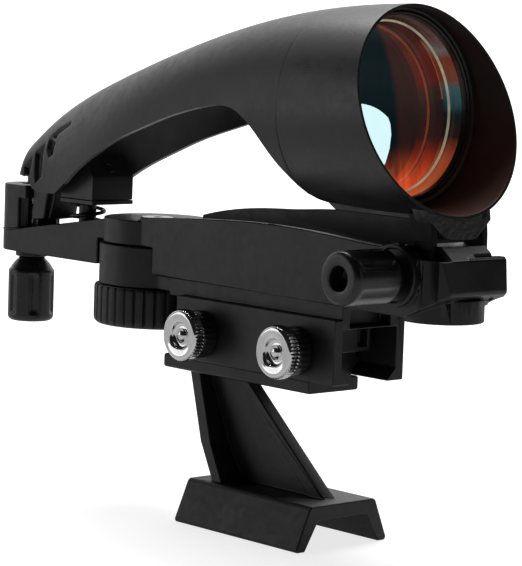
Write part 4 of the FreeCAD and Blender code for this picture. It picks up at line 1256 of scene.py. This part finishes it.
def build_floor():
    bpy.ops.mesh.primitive_plane_add(size=6.0, location=(0, 0, 0))
    floor = bpy.context.active_object
    floor.name = "floor"
    g = Material("floor_paper")
    g.set("Base Color", g.mix(g.noise(mm=60.0, detail=3.0),
                              rgba((0.86, 0.86, 0.86)), rgba((0.90, 0.90, 0.90))))
    g.set("Roughness", 0.8)
    g.set("Specular IOR Level", 0.2)
    g.set("Normal", g.bump(g.noise(mm=0.6, detail=3.0), mm=0.02))
    # away from the foot the paper is lit evenly up to the horizon
    seen = g.node("ShaderNodeLightPath").outputs["Is Camera Ray"]
    distance = g.node("ShaderNodeVectorMath", operation="LENGTH")
    g.put(distance.inputs[0], g.place)
    strength = g.plus(FLOOR_GLOW, g.times(seen, SEEN_WHITE - FLOOR_GLOW))
    even = g.shader("ShaderNodeEmission", strength=strength)
    far = g.remap(distance.outputs["Value"], 0.05, 0.22, to=(FLOOR_NEAR, 1.0))
    g.put(g.output.inputs[0], g.mix_shader(far, g.principled.outputs[0], even))
    floor.data.materials.append(g.material)


def build_world():
    """A white backdrop stands behind the object; the rest of the room is dark."""
    world = bpy.data.worlds.new("studio")
    SCENE.world = world
    g = Graph(world)
    output = g.node("ShaderNodeOutputWorld")
    towards = g.node("ShaderNodeVectorMath", operation="DOT_PRODUCT")
    g.put(towards.inputs[0], g.node("ShaderNodeTexCoord").outputs["Generated"])
    towards.inputs[1].default_value = (-0.72, 0.66, 0.21)
    strength = g.remap(towards.outputs["Value"], 0.35, 0.80, to=(ROOM, BACKDROP),
                       interpolation_type="SMOOTHSTEP")
    lighting = g.shader("ShaderNodeBackground", color=WHITE, strength=strength)
    visible = g.shader("ShaderNodeBackground", color=WHITE, strength=SEEN_WHITE)
    seen = g.node("ShaderNodeLightPath").outputs["Is Camera Ray"]
    g.put(output.inputs[0], g.mix_shader(seen, lighting, visible))


def area_light(name, place, size, power):
    """Rectangular light aimed at LIGHT_TARGET: place and size in metres, power in watts."""
    light = bpy.data.lights.new(name, "AREA")
    light.shape = "RECTANGLE"
    light.size, light.size_y = size
    light.energy = power
    ob = bpy.data.objects.new(name, light)
    SCENE.collection.objects.link(ob)
    ob.location = place
    ob.rotation_euler = (LIGHT_TARGET - Vector(place)).to_track_quat("-Z", "Y").to_euler()


def build_camera():
    """Camera in front of the near side, slightly above and rolled."""
    azimuth, elevation, roll = (math.radians(d) for d in (47.58, 6.12, 2.0))
    aim = Vector((-10.85, 0, 67.59)) * MM
    distance = 690.69 * MM
    back = Vector((math.sin(azimuth) * math.cos(elevation),
                   -math.cos(azimuth) * math.cos(elevation), math.sin(elevation)))
    level = Vector((math.cos(azimuth), math.sin(azimuth), 0.0))
    upright = back.cross(level)
    right = level * math.cos(roll) + upright * math.sin(roll)
    up = level * -math.sin(roll) + upright * math.cos(roll)
    data = bpy.data.cameras.new("camera")
    camera = bpy.data.objects.new("camera", data)
    SCENE.collection.objects.link(camera)
    data.sensor_fit = "AUTO"
    data.sensor_width = 36.0
    data.lens = 159.0106
    data.clip_start, data.clip_end = 0.01, 20.0
    turn = Matrix((right, up, back)).transposed().to_4x4()
    camera.matrix_world = Matrix.Translation(aim + back * distance) @ turn
    SCENE.camera = camera


build_floor()
build_world()
area_light("key_top", (-0.30, 0.25, 0.90), size=(0.7, 0.5), power=9.0)
area_light("fill_left", (-0.78, -0.68, 0.22), size=(0.42, 0.6), power=0.9)
area_light("fill_right", (0.80, 0.30, 0.35), size=(0.25, 0.5), power=0.16)
build_camera()
SCENE.view_settings.view_transform = "Standard"
